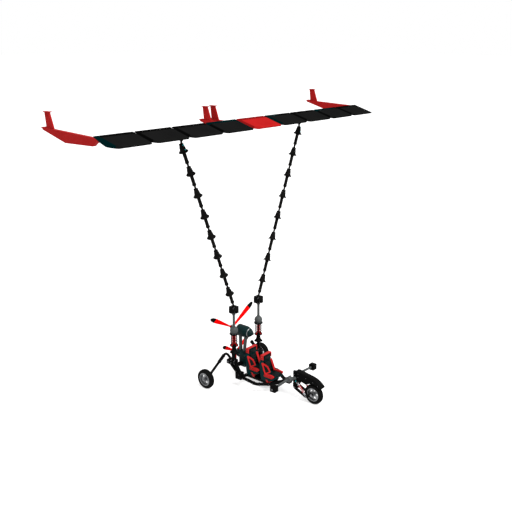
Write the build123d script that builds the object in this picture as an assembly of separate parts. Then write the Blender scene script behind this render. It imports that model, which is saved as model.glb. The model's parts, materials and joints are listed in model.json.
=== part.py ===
from build123d import *
from math import cos, radians, sin, sqrt
import os

os.makedirs("parts", exist_ok=True)

# Wheels, millimetres. X is forward from the rear axle, Y left, Z up from the ground.
wheel_radius = 257.0
tyre_width = 136.0
rim_radius = 168.0
rim_width = 120.0
hub_radius = 46.0
hub_width = 116.0
axle_radius = 20.0
wheelbase = 2621.0
half_track = 1115.0
spoke_windows = 5

# Clearances
running_gap = 0.05
side_gap = 5.0
ball_gap = 0.3

# Frame
mast_x = 425.0
mast_y = 488.0
base_length = 150.0
base_width = 140.0
base_bottom = 590.0
base_top = 705.0
beam_bottom = 470.0
beam_height = 75.0
diagonal_width = 70.0
side_box_x = 608.0
side_box_length = 200.0
side_box_width = 150.0
side_box_bottom = 222.0
side_box_height = 185.0
rail_radius = 40.0
rail_bend_x = 1158.0
rail_bend_z = 237.0
rail_knee_setback = 335.0
rail_knee_y = 240.0
keel_width = 120.0
keel_bottom = 165.0
keel_top = 235.0
keel_setback = 135.0
keel_stop = 300.0
nose_length = 110.0
nose_reach = 100.0
nose_width = 120.0
nose_height = 110.0
nose_bottom = 315.0
tow_radius = 12.0
knob_x = 262.0
knob_z = 612.0
knob_side = 110.0
cowl_rear_x = 330.0
cowl_front_x = 530.0
cowl_half_width = 190.0
cowl_cheek = 60.0
cowl_bottom = 400.0
cowl_top = 760.0

# Main gear legs
knee_x = 150.0
knee_z = 830.0
leg_radius = 34.0
sleeve_radius = 46.0
leg_block = 104.0
leg_block_width = 60.0

# Masts
post_radius = 42.0
bell_radius = 108.0
bell_height = 135.0
bell_bottom = 905.0
flange_radius = 106.0
flange_thickness = 26.0
flange_bottom = 1094.0
cage_height = 295.0
cage_radius = 68.0
cage_bar_radius = 12.0
strut_rod_radius = 28.0
coil_radius = 52.0
swivel_radius = 105.0
mast_tube_radius = 33.0
hang_bottom = 1990.0
hang_side = 186.0

# Risers
riser_links = 8
riser_top_y = 2150.0
riser_top_z = 6430.0
ball_radius = 40.0
neck_radius = 24.0
rod_radius = 42.0
crown_radius = 52.0
skirt_radius = 108.0
socket_radius = 118.0

# Wing
panel_count = 9
panel_pitch = 1030.0
panel_gap = 16.0
wing_chord = 600.0
wing_angle = 17.2
nose_edge_x = 1118.0
nose_edge_z = 6672.0
edge_radius = 32.0
trailing_top = 14.0
trailing_bottom = 0.0
corner_width = 330.0
corner_depth = 157.0
flap_share = 0.79
spar_radius = 32.0
spar_z = 6735.0
rib_thickness = 60.0

# Tail booms
boom_width = 90.0
boom_inset = 62.0
inner_boom_y = 138.0
inner_boom_forward = 150.0
inner_boom_drop = 180.0
inner_boom_front_x = 520.0
boom_front_x = 545.0
boom_front_top = 6838.0
boom_depth = 171.0
inner_boom_depth = 80.0
boom_bend_x = -322.0
boom_bend_z = 6656.0
boom_end_x = -1076.0
boom_end_top = 6915.0
boom_end_bottom = 6868.0
fin_height = 310.0
fin_thickness = 38.0
fin_root = 240.0
fin_tip = 160.0
fin_sweep = 40.0
fin_setback = 116.0
fin_cap_width = 92.0
fin_foot_width = 124.0
fin_foot_length = 98.0
boom_lip = 14.0
saddle_length = 120.0
saddle_drop = 140.0
saddle_rise = 52.0

# Motors and propellers
upper_hub_z = 1320.0
lower_hub_z = 660.0
upper_prop_x = -70.0
lower_prop_x = 58.0
upper_prop_radius = 950.0
lower_prop_radius = 600.0
shaft_radius = 20.0
prop_hub_radius = 62.0
prop_hub_length = 70.0
blade_chord = 136.0
blade_thickness = 26.0
pod_radius = 152.0
motor_radius = 110.0
motor_rear_x = 130.0
motor_front_x = 470.0
pod_nose = 180.0

# Seats
seat_front_x = 1244.0
seat_front_z = 395.0
seat_pitch = 490.0
seat_rise = 50.0
seat_width = 400.0
pan_margin = 8.0
wing_turn = 40.0
wing_thickness = 50.0
rim_band = 34.0
panel_recess = 9.0
thigh_width = 50.0
pad_side_gap = 15.0
back_pad_inset = 88.0
head_inset = 50.0
head_top = 482.0
cheek_height = 105.0
cheek_thickness = 26.0
trim_thickness = 16.0
sill_forward = 100.0
sill_length = 34.0
sill_drop = 160.0
sill_height = 22.0
back_pad_width = seat_width - 2 * back_pad_inset
head_width = seat_width - 2 * head_inset

# Nose gear, set back from the front axle
steer_setback = 601.0
nose_setback = 220.0
head_tube_radius = 38.0
head_tube_bottom = 330.0
head_tube_top = 640.0
lug_thickness = 50.0
steer_pin_radius = 20.0
fork_rear_setback = 551.0
fork_front_setback = 471.0
fork_head_width = 144.0
fork_head_top = 745.0
fork_head_bottom = 253.0
arm_gap = 10.0
arm_thickness = 24.0
arm_radius = 36.0
arm_pivot_setback = 525.0
arm_pivot_z = 300.0
shock_y = 120.0
fender_width = 164.0
fender_reach = 270.0
fender_depth = 215.0
fender_clearance = 26.0
fender_crest_z = 694.0
fender_brow_z = 628.0
fender_tip_z = 515.0
fender_skirt_z = 476.0
peg_setback = 621.0
peg_y = 800.0
peg_z = 516.0
peg_side = 156.0
bar_z = 556.0
bar_side = 46.0
stub_side = 60.0
diamond_side = 120.0
diamond_y = 215.0

steer_x = wheelbase - steer_setback
nose_x = steer_x - nose_setback
fork_head_rear = wheelbase - fork_rear_setback
fork_head_front = wheelbase - fork_front_setback
arm_pivot_x = wheelbase - arm_pivot_setback
fender_tip_x = wheelbase + fender_reach
peg_x = wheelbase - peg_setback
span = panel_count * panel_pitch
boom_y = span / 2 - boom_inset
tail_reach = boom_lip - boom_end_x
rear_axle_x = (tail_reach - fender_tip_x) / 2


def save(name, *pieces):
    solids = [Pos(rear_axle_x, 0, 0) * solid for piece in pieces for solid in piece.solids()]
    export_step(solids[0] if len(solids) == 1 else Compound(solids), f"parts/{name}.step")


def both(piece):
    return [piece, mirror(piece, about=Plane.XZ)]


def block(x, y, z):
    # A box from three (low, high) pairs.
    centre = ((x[0] + x[1]) / 2, (y[0] + y[1]) / 2, (z[0] + z[1]) / 2)
    return Pos(*centre) * Box(x[1] - x[0], y[1] - y[0], z[1] - z[0])


def tube(start, end, radius):
    run = Vector(*end) - Vector(*start)
    seat = Plane(origin=start, z_dir=run)
    return seat * Cylinder(radius, run.length, align=(Align.CENTER, Align.CENTER, Align.MIN))


def bar(start, end, width, depth):
    # A rectangular bar; width lies across, along Y for a bar in the X-Z plane.
    run = Vector(*end) - Vector(*start)
    across = Vector(0, 1, 0) if abs(run.Y) < 0.9 * run.length else Vector(1, 0, 0)
    across = (across - run * (across.dot(run) / run.length ** 2)).normalized()
    seat = Plane(origin=start, x_dir=across, z_dir=run)
    return seat * Box(width, depth, run.length, align=(Align.CENTER, Align.CENTER, Align.MIN))


def bent_tube(points, bend, radius):
    path = FilletPolyline(*points, radius=bend)
    return sweep(Plane(origin=path @ 0, z_dir=path % 0) * Circle(radius), path=path)


def plate(points, y, width):
    # A flat piece from (x, z) points, centred on y.
    outline = Polyline(*[(x, y - width / 2, z) for x, z in points], close=True)
    return extrude(make_face(outline.edges()), amount=width, dir=(0, 1, 0))


def disc(x, y, z, radius, width):
    return Pos(x, y, z) * Rot(90, 0, 0) * Cylinder(radius, width)


def turned(*edges):
    # Edges are drawn as (radius, 0, height) and close on the axis.
    return revolve(make_face([edge for line in edges for edge in line.edges()]), axis=Axis.Z)


def steps(*points):
    return Polyline(*[(r, 0, h) for r, h in points])


def arc(start, middle, end):
    return ThreePointArc(*[(r, 0, h) for r, h in (start, middle, end)])


# Wheels
half_tyre = tyre_width / 2
bead = rim_width / 2
shoulder = (0.76 * half_tyre, wheel_radius - 11)
wall = (half_tyre, rim_radius + 0.5 * (wheel_radius - rim_radius))


def tyre():
    ring = turned(
        steps((rim_radius, -bead), (rim_radius, bead)),
        arc((rim_radius, bead), (wall[1], wall[0]), (shoulder[1], shoulder[0])),
        arc((shoulder[1], shoulder[0]), (wheel_radius, 0), (shoulder[1], -shoulder[0])),
        arc((shoulder[1], -shoulder[0]), (wall[1], -wall[0]), (rim_radius, -bead)),
    )
    return Rot(90, 0, 0) * ring


def rim():
    barrel = Cylinder(rim_radius - running_gap, rim_width) - Cylinder(rim_radius - 18, rim_width)
    face = Cylinder(rim_radius - 17, 24)
    windows = PolarLocations(0.6 * rim_radius, spoke_windows) * Cylinder(0.2 * rim_radius, 24)
    hub = Cylinder(hub_radius, hub_width)
    wheel = barrel + (face - windows) + hub
    return Rot(90, 0, 0) * (wheel - Cylinder(axle_radius + running_gap, hub_width))


wheels = {
    "front": (wheelbase, 0),
    "rear_left": (0, half_track),
    "rear_right": (0, -half_track),
}
for place, (x, y) in wheels.items():
    save(f"tyre_{place}", Pos(x, y, wheel_radius) * tyre())
    save(f"rim_{place}", Pos(x, y, wheel_radius) * rim())

# Rear frame: mast bases, cross beam, spine and keel
base_x = (mast_x - base_length / 2, mast_x + base_length / 2)
base_y = (mast_y - base_width / 2, mast_y + base_width / 2)
base_z = (base_bottom, base_top)
mast_base = block(base_x, base_y, base_z)
beam_top = beam_bottom + beam_height
beam_end = mast_y - diagonal_width / 2
beam = block((mast_x - 45, mast_x + 45), (-beam_end, beam_end), (beam_bottom, beam_top))
keel_x = (mast_x + keel_setback, nose_x - keel_stop)
keel = block(keel_x, (-keel_width / 2, keel_width / 2), (keel_bottom, keel_top))
spine = bar((mast_x, 0, beam_bottom + 30), (keel_x[0] + 15, 0, keel_top - 30), 90, 70) - keel
box_x = (side_box_x - side_box_length / 2, side_box_x + side_box_length / 2)
box_y = (mast_y - side_box_width / 2, mast_y + side_box_width / 2)
box_z = (side_box_bottom, side_box_bottom + side_box_height)
side_box = block(box_x, box_y, box_z)
save("side_boxes", *both(chamfer(side_box.edges().filter_by(Axis.Z), 18)))
half_seat = seat_width / 2
pan_x = (seat_front_x - seat_pitch - 150 - pan_margin, seat_front_x + 100 + pan_margin)
floor_pan = block(pan_x, (-half_seat, half_seat), (keel_bottom, keel_top))
cross = block((side_box_x - 30, side_box_x + 30), (half_seat, box_y[0]), (keel_bottom + 20, keel_top + 25))
save("keel_frame", keel + floor_pan + both(cross))
save("rear_frame", beam + both(mast_base) + spine - floor_pan)

nose_block_x = (nose_x - nose_length / 2, nose_x + nose_reach)
nose_z = (nose_bottom, nose_bottom + nose_height)
nose_block = block(nose_block_x, (-nose_width / 2, nose_width / 2), nose_z)
nose_middle = (nose_x, 0, nose_bottom + nose_height / 2)
head_tube_z = (head_tube_top + head_tube_bottom) / 2
neck = bar(nose_middle, (steer_x, 0, head_tube_z), 76, 80)
gooseneck = bar((keel_x[1] - 40, 0, (keel_bottom + keel_top) / 2), nose_middle, 90, 66) - keel
rail_start = (side_box_x, mast_y, box_z[0] + 0.35 * side_box_height)
rail_bend = (rail_bend_x, mast_y, rail_bend_z)
rail_end = (nose_x, 30, nose_z[0] + nose_height / 2)
rail_knee = (nose_x - rail_knee_setback, rail_knee_y, rail_bend_z)
rail = bent_tube([rail_start, rail_bend, rail_knee, rail_end], 160, rail_radius)
rail = (rail - side_box - nose_block - gooseneck - neck).solids().sort_by(SortBy.VOLUME)[-1]
save("frame_rails", *both(rail))

knob_half = knob_side / 2
knob = block(
    (knob_x - knob_half, knob_x + knob_half),
    (mast_y - knob_half, mast_y + knob_half),
    (knob_z - knob_half, knob_z + knob_half),
)
knob_link = block((knob_x, base_x[0]), (mast_y - 30, mast_y + 30), (knob_z - 32, knob_z + 32))
rear_diagonal = bar((knob_x, mast_y, knob_z), (box_x[0] + 70, mast_y, box_z[1] - 60), diagonal_width, 62)
diagonal_top = (mast_x + 20, mast_y, base_bottom + 60)
front_diagonal = bar(diagonal_top, (box_x[1] - 60, mast_y, box_z[1] - 60), diagonal_width, 62)
diagonals = rear_diagonal + knob + knob_link + front_diagonal - side_box - mast_base
save("frame_diagonals", *both(diagonals))

# Cowl around the lower motor, behind the rear seat
cowl_front = (mast_x + 45, cowl_front_x)
cowl_z = (cowl_bottom, cowl_top)
bulkhead = block(cowl_front, (-cowl_half_width, cowl_half_width), cowl_z)
cheek_y = (cowl_half_width - cowl_cheek, cowl_half_width)
cowl = bulkhead + both(block((cowl_rear_x, cowl_front[0]), cheek_y, cowl_z))
cowl = chamfer(cowl.edges().filter_by(Axis.X).group_by(Axis.Z)[-1], 24)
save("motor_cowl", cowl - beam - spine)

# Nose frame with the steering head tube
head_tube = tube((steer_x, 0, head_tube_bottom), (steer_x, 0, head_tube_top), head_tube_radius)
steer_bore = tube((steer_x, 0, head_tube_bottom), (steer_x, 0, head_tube_top), steer_pin_radius + running_gap)
tow_bore = disc(nose_block_x[1] - 30, 0, nose_z[0] + 32, tow_radius, nose_width)
save("nose_frame", nose_block + gooseneck + neck + head_tube - steer_bore - tow_bore)

# Main gear legs with their stub axles
leg_end_y = half_track - hub_width / 2 - 2 * side_gap - leg_block_width
leg_root = (mast_x - 20, mast_y, base_top - 80)
knee = (knee_x, mast_y + 12, knee_z)
leg_foot = (0, leg_end_y + leg_block_width / 2, wheel_radius + 20)
leg_run = Vector(*leg_foot) - Vector(*knee)
sleeve_top = tuple(Vector(*knee) + leg_run * 0.12)
sleeve_foot = tuple(Vector(*knee) + leg_run * 0.40)
leg = bent_tube([leg_root, knee, leg_foot], 60, leg_radius)
sleeve = tube(sleeve_top, sleeve_foot, sleeve_radius)
half_block = leg_block / 2
foot_block = block(
    (-half_block, half_block),
    (leg_end_y, leg_end_y + leg_block_width),
    (wheel_radius - half_block, wheel_radius + half_block),
)
axle_in = leg_end_y + 15
axle_out = half_track + hub_width / 2 + side_gap + 22
axle = tube((0, axle_in, wheel_radius), (0, axle_out, wheel_radius), axle_radius)
axle_nut = tube((0, axle_out - 22, wheel_radius), (0, axle_out, wheel_radius), 0.75 * hub_radius)
save("gear_legs", *both(leg + sleeve + foot_block - mast_base - diagonals - axle))
save("rear_axles", *both(axle + axle_nut))

# Masts
bell_top = bell_bottom + bell_height
flange_top = flange_bottom + flange_thickness
post = turned(
    steps((0, flange_top), (0, base_top), (post_radius, base_top), (post_radius, bell_bottom + 14)),
    steps((post_radius, bell_bottom + 14), (bell_radius, bell_bottom), (bell_radius, bell_bottom + 14)),
    arc(
        (bell_radius, bell_bottom + 14),
        (0.66 * bell_radius, bell_bottom + 0.42 * bell_height),
        (0.52 * bell_radius, bell_top - 14),
    ),
    steps((0.52 * bell_radius, bell_top - 14), (post_radius, bell_top), (post_radius, flange_bottom)),
    steps((post_radius, flange_bottom), (flange_radius, flange_bottom), (flange_radius, flange_top)),
    steps((flange_radius, flange_top), (0, flange_top)),
)
save("mast_posts", *both(Pos(mast_x, mast_y, 0) * post))

cage_top = flange_top + cage_height
cage = Cylinder(strut_rod_radius, cage_height)
cage = cage + PolarLocations(cage_radius, 4, 45) * Cylinder(cage_bar_radius, cage_height)
top_flange_z = cage_top + flange_thickness / 2
strut = Pos(0, 0, flange_top + cage_height / 2) * cage
strut = strut + Pos(0, 0, top_flange_z) * Cylinder(flange_radius + 10, flange_thickness)
save("mast_struts", *both(Pos(mast_x, mast_y, 0) * strut))

coil_turns = 6
coil_pitch = (cage_height - 30) / coil_turns
coil_bottom = flange_top + 15
coil_points = [(strut_rod_radius + ball_gap, coil_bottom)]
for turn in range(coil_turns):
    coil_points.append((0.74 * coil_radius, coil_bottom + turn * coil_pitch))
    coil_points.append((coil_radius, coil_bottom + (turn + 0.35) * coil_pitch))
    coil_points.append((coil_radius, coil_bottom + (turn + 0.65) * coil_pitch))
coil_top = coil_bottom + coil_turns * coil_pitch
coil_points.append((0.74 * coil_radius, coil_top))
coil_points.append((strut_rod_radius + ball_gap, coil_top))
coil_points.append(coil_points[0])
coil = turned(steps(*coil_points))
lugs = Part() + PolarLocations(0.8 * flange_radius, 4) * Cylinder(14, 30)
red_lugs = both(Pos(mast_x, mast_y, flange_top + 15) * lugs)
save("mast_springs", *both(Pos(mast_x, mast_y, 0) * coil), *red_lugs)

swivel_bottom = cage_top + flange_thickness
swivel_z = swivel_bottom + 75
swivel_low = sqrt(swivel_radius ** 2 - 60 ** 2)
swivel_high = swivel_z + sqrt(swivel_radius ** 2 - mast_tube_radius ** 2)
swivel = turned(
    steps((0, hang_bottom), (0, swivel_bottom), (swivel_low, swivel_bottom), (swivel_low, swivel_z - 60)),
    arc((swivel_low, swivel_z - 60), (swivel_radius, swivel_z), (mast_tube_radius, swivel_high)),
    steps((mast_tube_radius, swivel_high), (mast_tube_radius, hang_bottom), (0, hang_bottom)),
)
save("mast_swivels", *both(Pos(mast_x, mast_y, 0) * swivel))

hang_half = hang_side / 2
hang_top = hang_bottom + hang_side
hang_block = block(
    (mast_x - hang_half, mast_x + hang_half),
    (mast_y - hang_half, mast_y + hang_half),
    (hang_bottom, hang_top),
)
hang_slot = block(
    (mast_x + 0.42 * hang_half, mast_x + hang_half),
    (mast_y - 0.75 * hang_half, mast_y + 0.1 * hang_half),
    (hang_bottom, hang_bottom + 0.45 * hang_side),
)
hang_ball = Pos(mast_x, mast_y, hang_top) * Sphere(ball_radius + ball_gap)
hang_block = chamfer(hang_block.edges(), 8) - hang_slot - hang_ball
save("hang_blocks", hang_block, Pos(0, -2 * mast_y, 0) * hang_block)

# Risers: ball-jointed links, each with a bell at its top
riser_foot = Vector(mast_x, mast_y, hang_top)
riser_head = Vector(mast_x, riser_top_y, riser_top_z)
riser_run = riser_head - riser_foot
link_length = riser_run.length / riser_links
socket = ball_radius + ball_gap
lip = 0.45 * ball_radius
ball_cut = sqrt(ball_radius ** 2 - neck_radius ** 2)
skirt = link_length - 177
link = turned(
    steps((0, link_length - socket), (0, -ball_radius)),
    arc((0, -ball_radius), (ball_radius, 0), (neck_radius, ball_cut)),
    steps((neck_radius, ball_cut), (neck_radius, 86), (rod_radius, 112), (rod_radius, skirt + 20)),
    steps((rod_radius, skirt + 20), (skirt_radius - 14, skirt + 6), (skirt_radius, skirt)),
    steps((skirt_radius, skirt), (skirt_radius, skirt + 12)),
    arc((skirt_radius, skirt + 12), (0.73 * skirt_radius, skirt + 46), (0.62 * skirt_radius, skirt + 96)),
    arc((0.62 * skirt_radius, skirt + 96), (0.56 * skirt_radius, skirt + 134), (crown_radius, skirt + 158)),
    steps((crown_radius, skirt + 158), (crown_radius, link_length + lip)),
    steps((crown_radius, link_length + lip), (sqrt(socket ** 2 - lip ** 2), link_length + lip)),
    arc((sqrt(socket ** 2 - lip ** 2), link_length + lip), (socket, link_length), (0, link_length - socket)),
)
links = []
for index in range(riser_links):
    foot = riser_foot + riser_run * (index / riser_links)
    links.append(Plane(origin=foot, x_dir=(1, 0, 0), z_dir=riser_run) * link)
save("riser_links_left", *links)
save("riser_links_right", *[mirror(piece, about=Plane.XZ) for piece in links])

socket_top = spar_z + spar_radius + 16 - riser_top_z
cone_top = 0.36 * socket_top + 96
top_socket = turned(
    steps((0, socket_top), (0, -ball_radius)),
    arc((0, -ball_radius), (ball_radius, 0), (neck_radius, ball_cut)),
    steps((neck_radius, ball_cut), (neck_radius, 70), (socket_radius, cone_top - 26)),
    steps((socket_radius, cone_top - 26), (socket_radius, cone_top)),
    steps((socket_radius, cone_top), (54, cone_top), (54, socket_top), (0, socket_top)),
)
spar_bore = Rot(90, 0, 0) * Cylinder(spar_radius + running_gap, 400)
top_socket = Pos(mast_x, riser_top_y, riser_top_z) * top_socket - Pos(mast_x, riser_top_y, spar_z) * spar_bore
save("riser_sockets", *both(top_socket))

# Wing panels: rounded nose edge and right corner, creased flap strip, steep right end, thin left end
slope = radians(wing_angle)
aft = Vector(-cos(slope), 0, sin(slope))
panel_width = panel_pitch - panel_gap
flap = flap_share * wing_chord
flap_top = edge_radius - 8


def section_plane(y):
    return Plane(origin=(nose_edge_x, y, nose_edge_z), x_dir=aft, z_dir=(0, 1, 0))


def panel(y):
    outline = Polyline((edge_radius, edge_radius), (flap, flap_top), (wing_chord, trailing_top))
    outline = outline + Polyline((wing_chord, trailing_top), (wing_chord, trailing_bottom))
    outline = outline + Line((wing_chord, trailing_bottom), (edge_radius, -edge_radius))
    outline = outline + ThreePointArc((edge_radius, -edge_radius), (0, 0), (edge_radius, edge_radius))
    slab = extrude(section_plane(y) * make_face(outline.edges()), amount=panel_width)
    ends = Plane(origin=(nose_edge_x, y, nose_edge_z), x_dir=(0, 1, 0), z_dir=aft * -1)
    high = edge_radius + 10
    right = make_face(Polyline((-5, -20), (98, high), (-5, high), close=True).edges())
    left = [(panel_width - 130, edge_radius + 1), (panel_width + 5, 14), (panel_width + 5, high)]
    left = make_face(Polyline(*left, (panel_width - 130, high), close=True).edges())
    cutter = extrude(ends * (right + left), amount=-wing_chord - 50)
    cutter = cutter + extrude(ends * (right + left), amount=50)
    plan = Plane(origin=(nose_edge_x, y, nose_edge_z), x_dir=(0, 1, 0), z_dir=(sin(slope), 0, cos(slope)))
    corner = Polyline((corner_width, -1), (-1, -1), (-1, corner_depth))
    corner = corner + ThreePointArc(
        (-1, corner_depth), (0.34 * corner_width, 0.45 * corner_depth), (corner_width, -1)
    )
    corner = extrude(plan * make_face(corner.edges()), amount=2 * edge_radius, both=True)
    return slab - cutter - corner


panels = [panel(-span / 2 + index * panel_pitch + panel_gap / 2) for index in range(panel_count)]
centre = panel_count // 2
save("wing_panels_right", *panels[:centre])
save("wing_panel_centre", panels[centre])
save("wing_panels_left", *panels[centre + 1:])


# Ribs under the panel joints, clamped on the spar
def underside(s):
    share = (s - edge_radius) / (wing_chord - edge_radius)
    return -edge_radius + share * (edge_radius + trailing_bottom)


to_spar = Vector(mast_x - nose_edge_x, 0, spar_z - nose_edge_z)
spar_s = to_spar.dot(aft)
spar_t = to_spar.dot(Vector(sin(slope), 0, cos(slope)))
rib_front = 0.22 * wing_chord
rib_rear = 0.97 * wing_chord
clamp = spar_radius + 24


def rib(y, thickness):
    top = [(rib_front, underside(rib_front)), (rib_rear, underside(rib_rear))]
    low = [(spar_s + 0.7 * clamp, spar_t + 0.7 * clamp), (spar_s - 0.7 * clamp, spar_t - 0.7 * clamp)]
    low.append((rib_front + 40, underside(rib_front) - 36))
    face = make_face(Polyline(*top, *low, close=True).edges())
    web = extrude(section_plane(y - thickness / 2) * face, amount=thickness)
    ring = disc(mast_x, y, spar_z, clamp, thickness)
    return web + ring - disc(mast_x, y, spar_z, spar_radius + running_gap, thickness)


rib_places = [-span / 2 + index * panel_pitch for index in range(1, panel_count)]
save("wing_ribs", *[rib(y, rib_thickness) for y in rib_places])
spar_end = boom_y - boom_width / 2
save("wing_spar", tube((mast_x, -spar_end, spar_z), (mast_x, spar_end, spar_z), spar_radius))


# Tail booms and fins
def boom(y, front_x, depth, toe, forward, drop):
    outline = [
        (front_x, boom_front_top - drop),
        (boom_end_x + forward, boom_end_top - drop),
        (boom_end_x + forward, boom_end_bottom - drop),
        (boom_bend_x + forward, boom_bend_z - drop),
        (front_x, boom_front_top - depth - drop),
    ]
    return plate(outline + toe, y, boom_width)


def under_wing(s):
    t = underside(s)
    return nose_edge_x - s * cos(slope) + t * sin(slope), nose_edge_z + s * sin(slope) + t * cos(slope)


def fin(y, forward, drop):
    low = boom_end_top - 30
    high = boom_end_top + fin_height
    root_x = boom_end_x + fin_setback
    tip_x = root_x - fin_sweep
    outline = [(root_x + fin_root, low), (root_x, low), (tip_x, high), (tip_x + fin_tip, high)]
    foot_x = (boom_end_x - boom_lip, boom_end_x - boom_lip + fin_foot_length)
    foot_y = (y - fin_foot_width / 2, y + fin_foot_width / 2)
    foot = block(foot_x, foot_y, (boom_end_top - boom_lip, boom_end_top + 8))
    blade = plate(outline, y, fin_thickness)
    cap_y = (y - fin_cap_width / 2, y + fin_cap_width / 2)
    cap = block((tip_x - 15, tip_x + fin_tip + 25), cap_y, (high, high + 18))
    return Pos(forward, 0, -drop) * (blade + cap), Pos(forward, 0, -drop) * foot


outer_toe = [under_wing(0.72 * wing_chord), under_wing(rib_rear)]
outer = boom(boom_y, boom_front_x, boom_depth, outer_toe, 0, 0)
fin_outer, foot_outer = fin(boom_y, 0, 0)
inner = boom(inner_boom_y, inner_boom_front_x, inner_boom_depth, [], inner_boom_forward, inner_boom_drop)
saddle_y = (inner_boom_y - boom_width / 2, inner_boom_y + boom_width / 2)
saddle_x = (mast_x - saddle_length / 2, mast_x + saddle_length / 2)
saddle = block(saddle_x, saddle_y, (spar_z - saddle_drop, spar_z + saddle_rise))
inner = inner + saddle - disc(mast_x, inner_boom_y, spar_z, spar_radius + running_gap, boom_width)
fin_inner, foot_inner = fin(inner_boom_y, inner_boom_forward, inner_boom_drop)
save("tail_booms_outer", *both(outer + foot_outer - fin_outer))
save("tail_booms_inner", *both(inner + foot_inner - fin_inner))
save("tail_fins", *both(fin_outer), *both(fin_inner))


# Motors
def along_x(z, *edges):
    return Pos(0, 0, z) * Rot(0, 90, 0) * turned(*edges)


bore_depth = 70
pod_front_x = motor_front_x + pod_nose
pod = along_x(
    upper_hub_z,
    steps((0, pod_front_x), (0, motor_rear_x), (0.62 * pod_radius, motor_rear_x)),
    steps((0.62 * pod_radius, motor_rear_x), (pod_radius, motor_rear_x + 40)),
    steps((pod_radius, motor_rear_x + 40), (pod_radius, motor_front_x - 60)),
    arc(
        (pod_radius, motor_front_x - 60),
        (0.82 * pod_radius, motor_front_x + 40),
        (0.42 * pod_radius, pod_front_x - 40),
    ),
    steps((0.42 * pod_radius, pod_front_x - 40), (0.24 * pod_radius, pod_front_x), (0, pod_front_x)),
)
bore_end = motor_rear_x + bore_depth
pod_bore = tube((motor_rear_x, 0, upper_hub_z), (bore_end, 0, upper_hub_z), shaft_radius + running_gap)
motor_bore = tube((motor_rear_x, 0, lower_hub_z), (bore_end, 0, lower_hub_z), shaft_radius + running_gap)
motor = along_x(
    lower_hub_z,
    steps((0, motor_front_x), (0, motor_rear_x), (0.6 * motor_radius, motor_rear_x)),
    steps((0.6 * motor_radius, motor_rear_x), (motor_radius, motor_rear_x + 36)),
    steps((motor_radius, motor_rear_x + 36), (motor_radius, motor_front_x - 24)),
    steps((motor_radius, motor_front_x - 24), (0.8 * motor_radius, motor_front_x), (0, motor_front_x)),
)
motor_foot = block((mast_x - 42, mast_x + 42), (-70, 70), (beam_top, lower_hub_z))
save("upper_motor_pod", pod - pod_bore)
save("lower_motor", motor + motor_foot - motor_bore)
pylon_rear = bar((motor_rear_x + 100, 0, lower_hub_z), (motor_rear_x + 80, 0, upper_hub_z), 90, 46)
pylon_front = bar((motor_rear_x + 210, 0, lower_hub_z), (motor_rear_x + 290, 0, upper_hub_z), 90, 46)
pylon = [leg_piece - motor - pod for leg_piece in (pylon_rear, pylon_front)]
save("motor_pylon", *pylon)


# Propellers: shares of the radius, chord share, thickness share, pitch in degrees
blade_sections = [(0.06, 0.38, 1.0, 42), (0.34, 0.60, 0.8, 30), (0.62, 0.88, 0.6, 22), (0.80, 1.0, 0.5, 18)]
tip_sections = [(0.80, 1.0, 0.5, 18), (0.93, 0.80, 0.4, 15), (1.0, 0.35, 0.3, 13)]


def blade_loft(table, radius):
    faces = []
    for share, chord_share, thick_share, pitch in table:
        half = blade_chord * chord_share / 2 * (0.55 + 0.45 * radius / upper_prop_radius)
        thick = blade_thickness * thick_share / 2
        outline = Polyline((-half, 0), (-0.4 * half, thick), (0.3 * half, thick), (half, 0),
                           (0.3 * half, -thick), (-0.4 * half, -thick), close=True)
        faces.append(Plane.XY.offset(share * radius) * Rot(0, 0, 90 - pitch) * make_face(outline.edges()))
    return loft(faces, ruled=True)


def propeller(name, x, z, radius):
    centre_place = Pos(x, 0, z)
    hub = centre_place * Rot(0, 90, 0) * Cylinder(prop_hub_radius, prop_hub_length)
    spinner = Rot(0, -90, 0) * Cone(prop_hub_radius, 0.45 * prop_hub_radius, 30)
    spinner = centre_place * Pos(-prop_hub_length / 2 - 15, 0, 0) * spinner
    shaft = tube((x, 0, z), (bore_end - side_gap, 0, z), shaft_radius)
    blades = []
    tips = []
    for angle in (60, 180, 300):
        turn = centre_place * Rot(angle, 0, 0)
        blades.append(turn * blade_loft(blade_sections, radius) - hub)
        tips.append(turn * blade_loft(tip_sections, radius))
    save(f"{name}_prop_hub", hub + spinner + shaft)
    save(f"{name}_prop_blades", *blades)
    save(f"{name}_prop_tips", *tips)


propeller("upper", upper_prop_x, upper_hub_z, upper_prop_radius)
propeller("lower", lower_prop_x, lower_hub_z, lower_prop_radius)

# Seats: side outlines as (forward, up) from the hip point, back wings as (along, up) in their own plane
back_top = (-150, 320)
wing_foot = (-40, 17)
wing_rise = (-114, 302)
wing_outline = [(-88, 314), (9, 267), (89, 205), (137, 110), (156, 57), (3, -9)]
thigh_outline = [(-60, -10), (-34, 36), (150, 56), (240, 48), (262, 16), (205, -40), (-36, -40)]
seat_pad_outline = [(14, -39.7), (236, -39.7), (262, 8), (240, 22), (160, 30), (18, 24)]
back_pad_outline = [(-70.2, 42), (-14, 52), (-96, 318), (-149.1, 318)]
head_pad_outline = [(-146.7, 350), (-100, 358), (-92, 462), (-134.9, 468)]
base_band = [(0, -104), (54, -104), (124, -205), (70, -205)]
wing_run = Vector(cos(radians(wing_turn)), sin(radians(wing_turn)), 0)
wing_normal = wing_run.cross(Vector(wing_rise[0], 0, wing_rise[1]))
wing_sharp = make_face(Polyline(*wing_outline, close=True).edges())
wing_window = offset(wing_sharp, amount=-rim_band, kind=Kind.INTERSECTION)
wing_face = fillet(wing_sharp.vertices(), 18)
wing_window = fillet(wing_window.vertices(), 12)
shells, panels_in, rims, thighs, head_trims, base_trims = [], [], [], [], [], []
seat_pads, back_pads, head_pads = [], [], []
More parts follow.
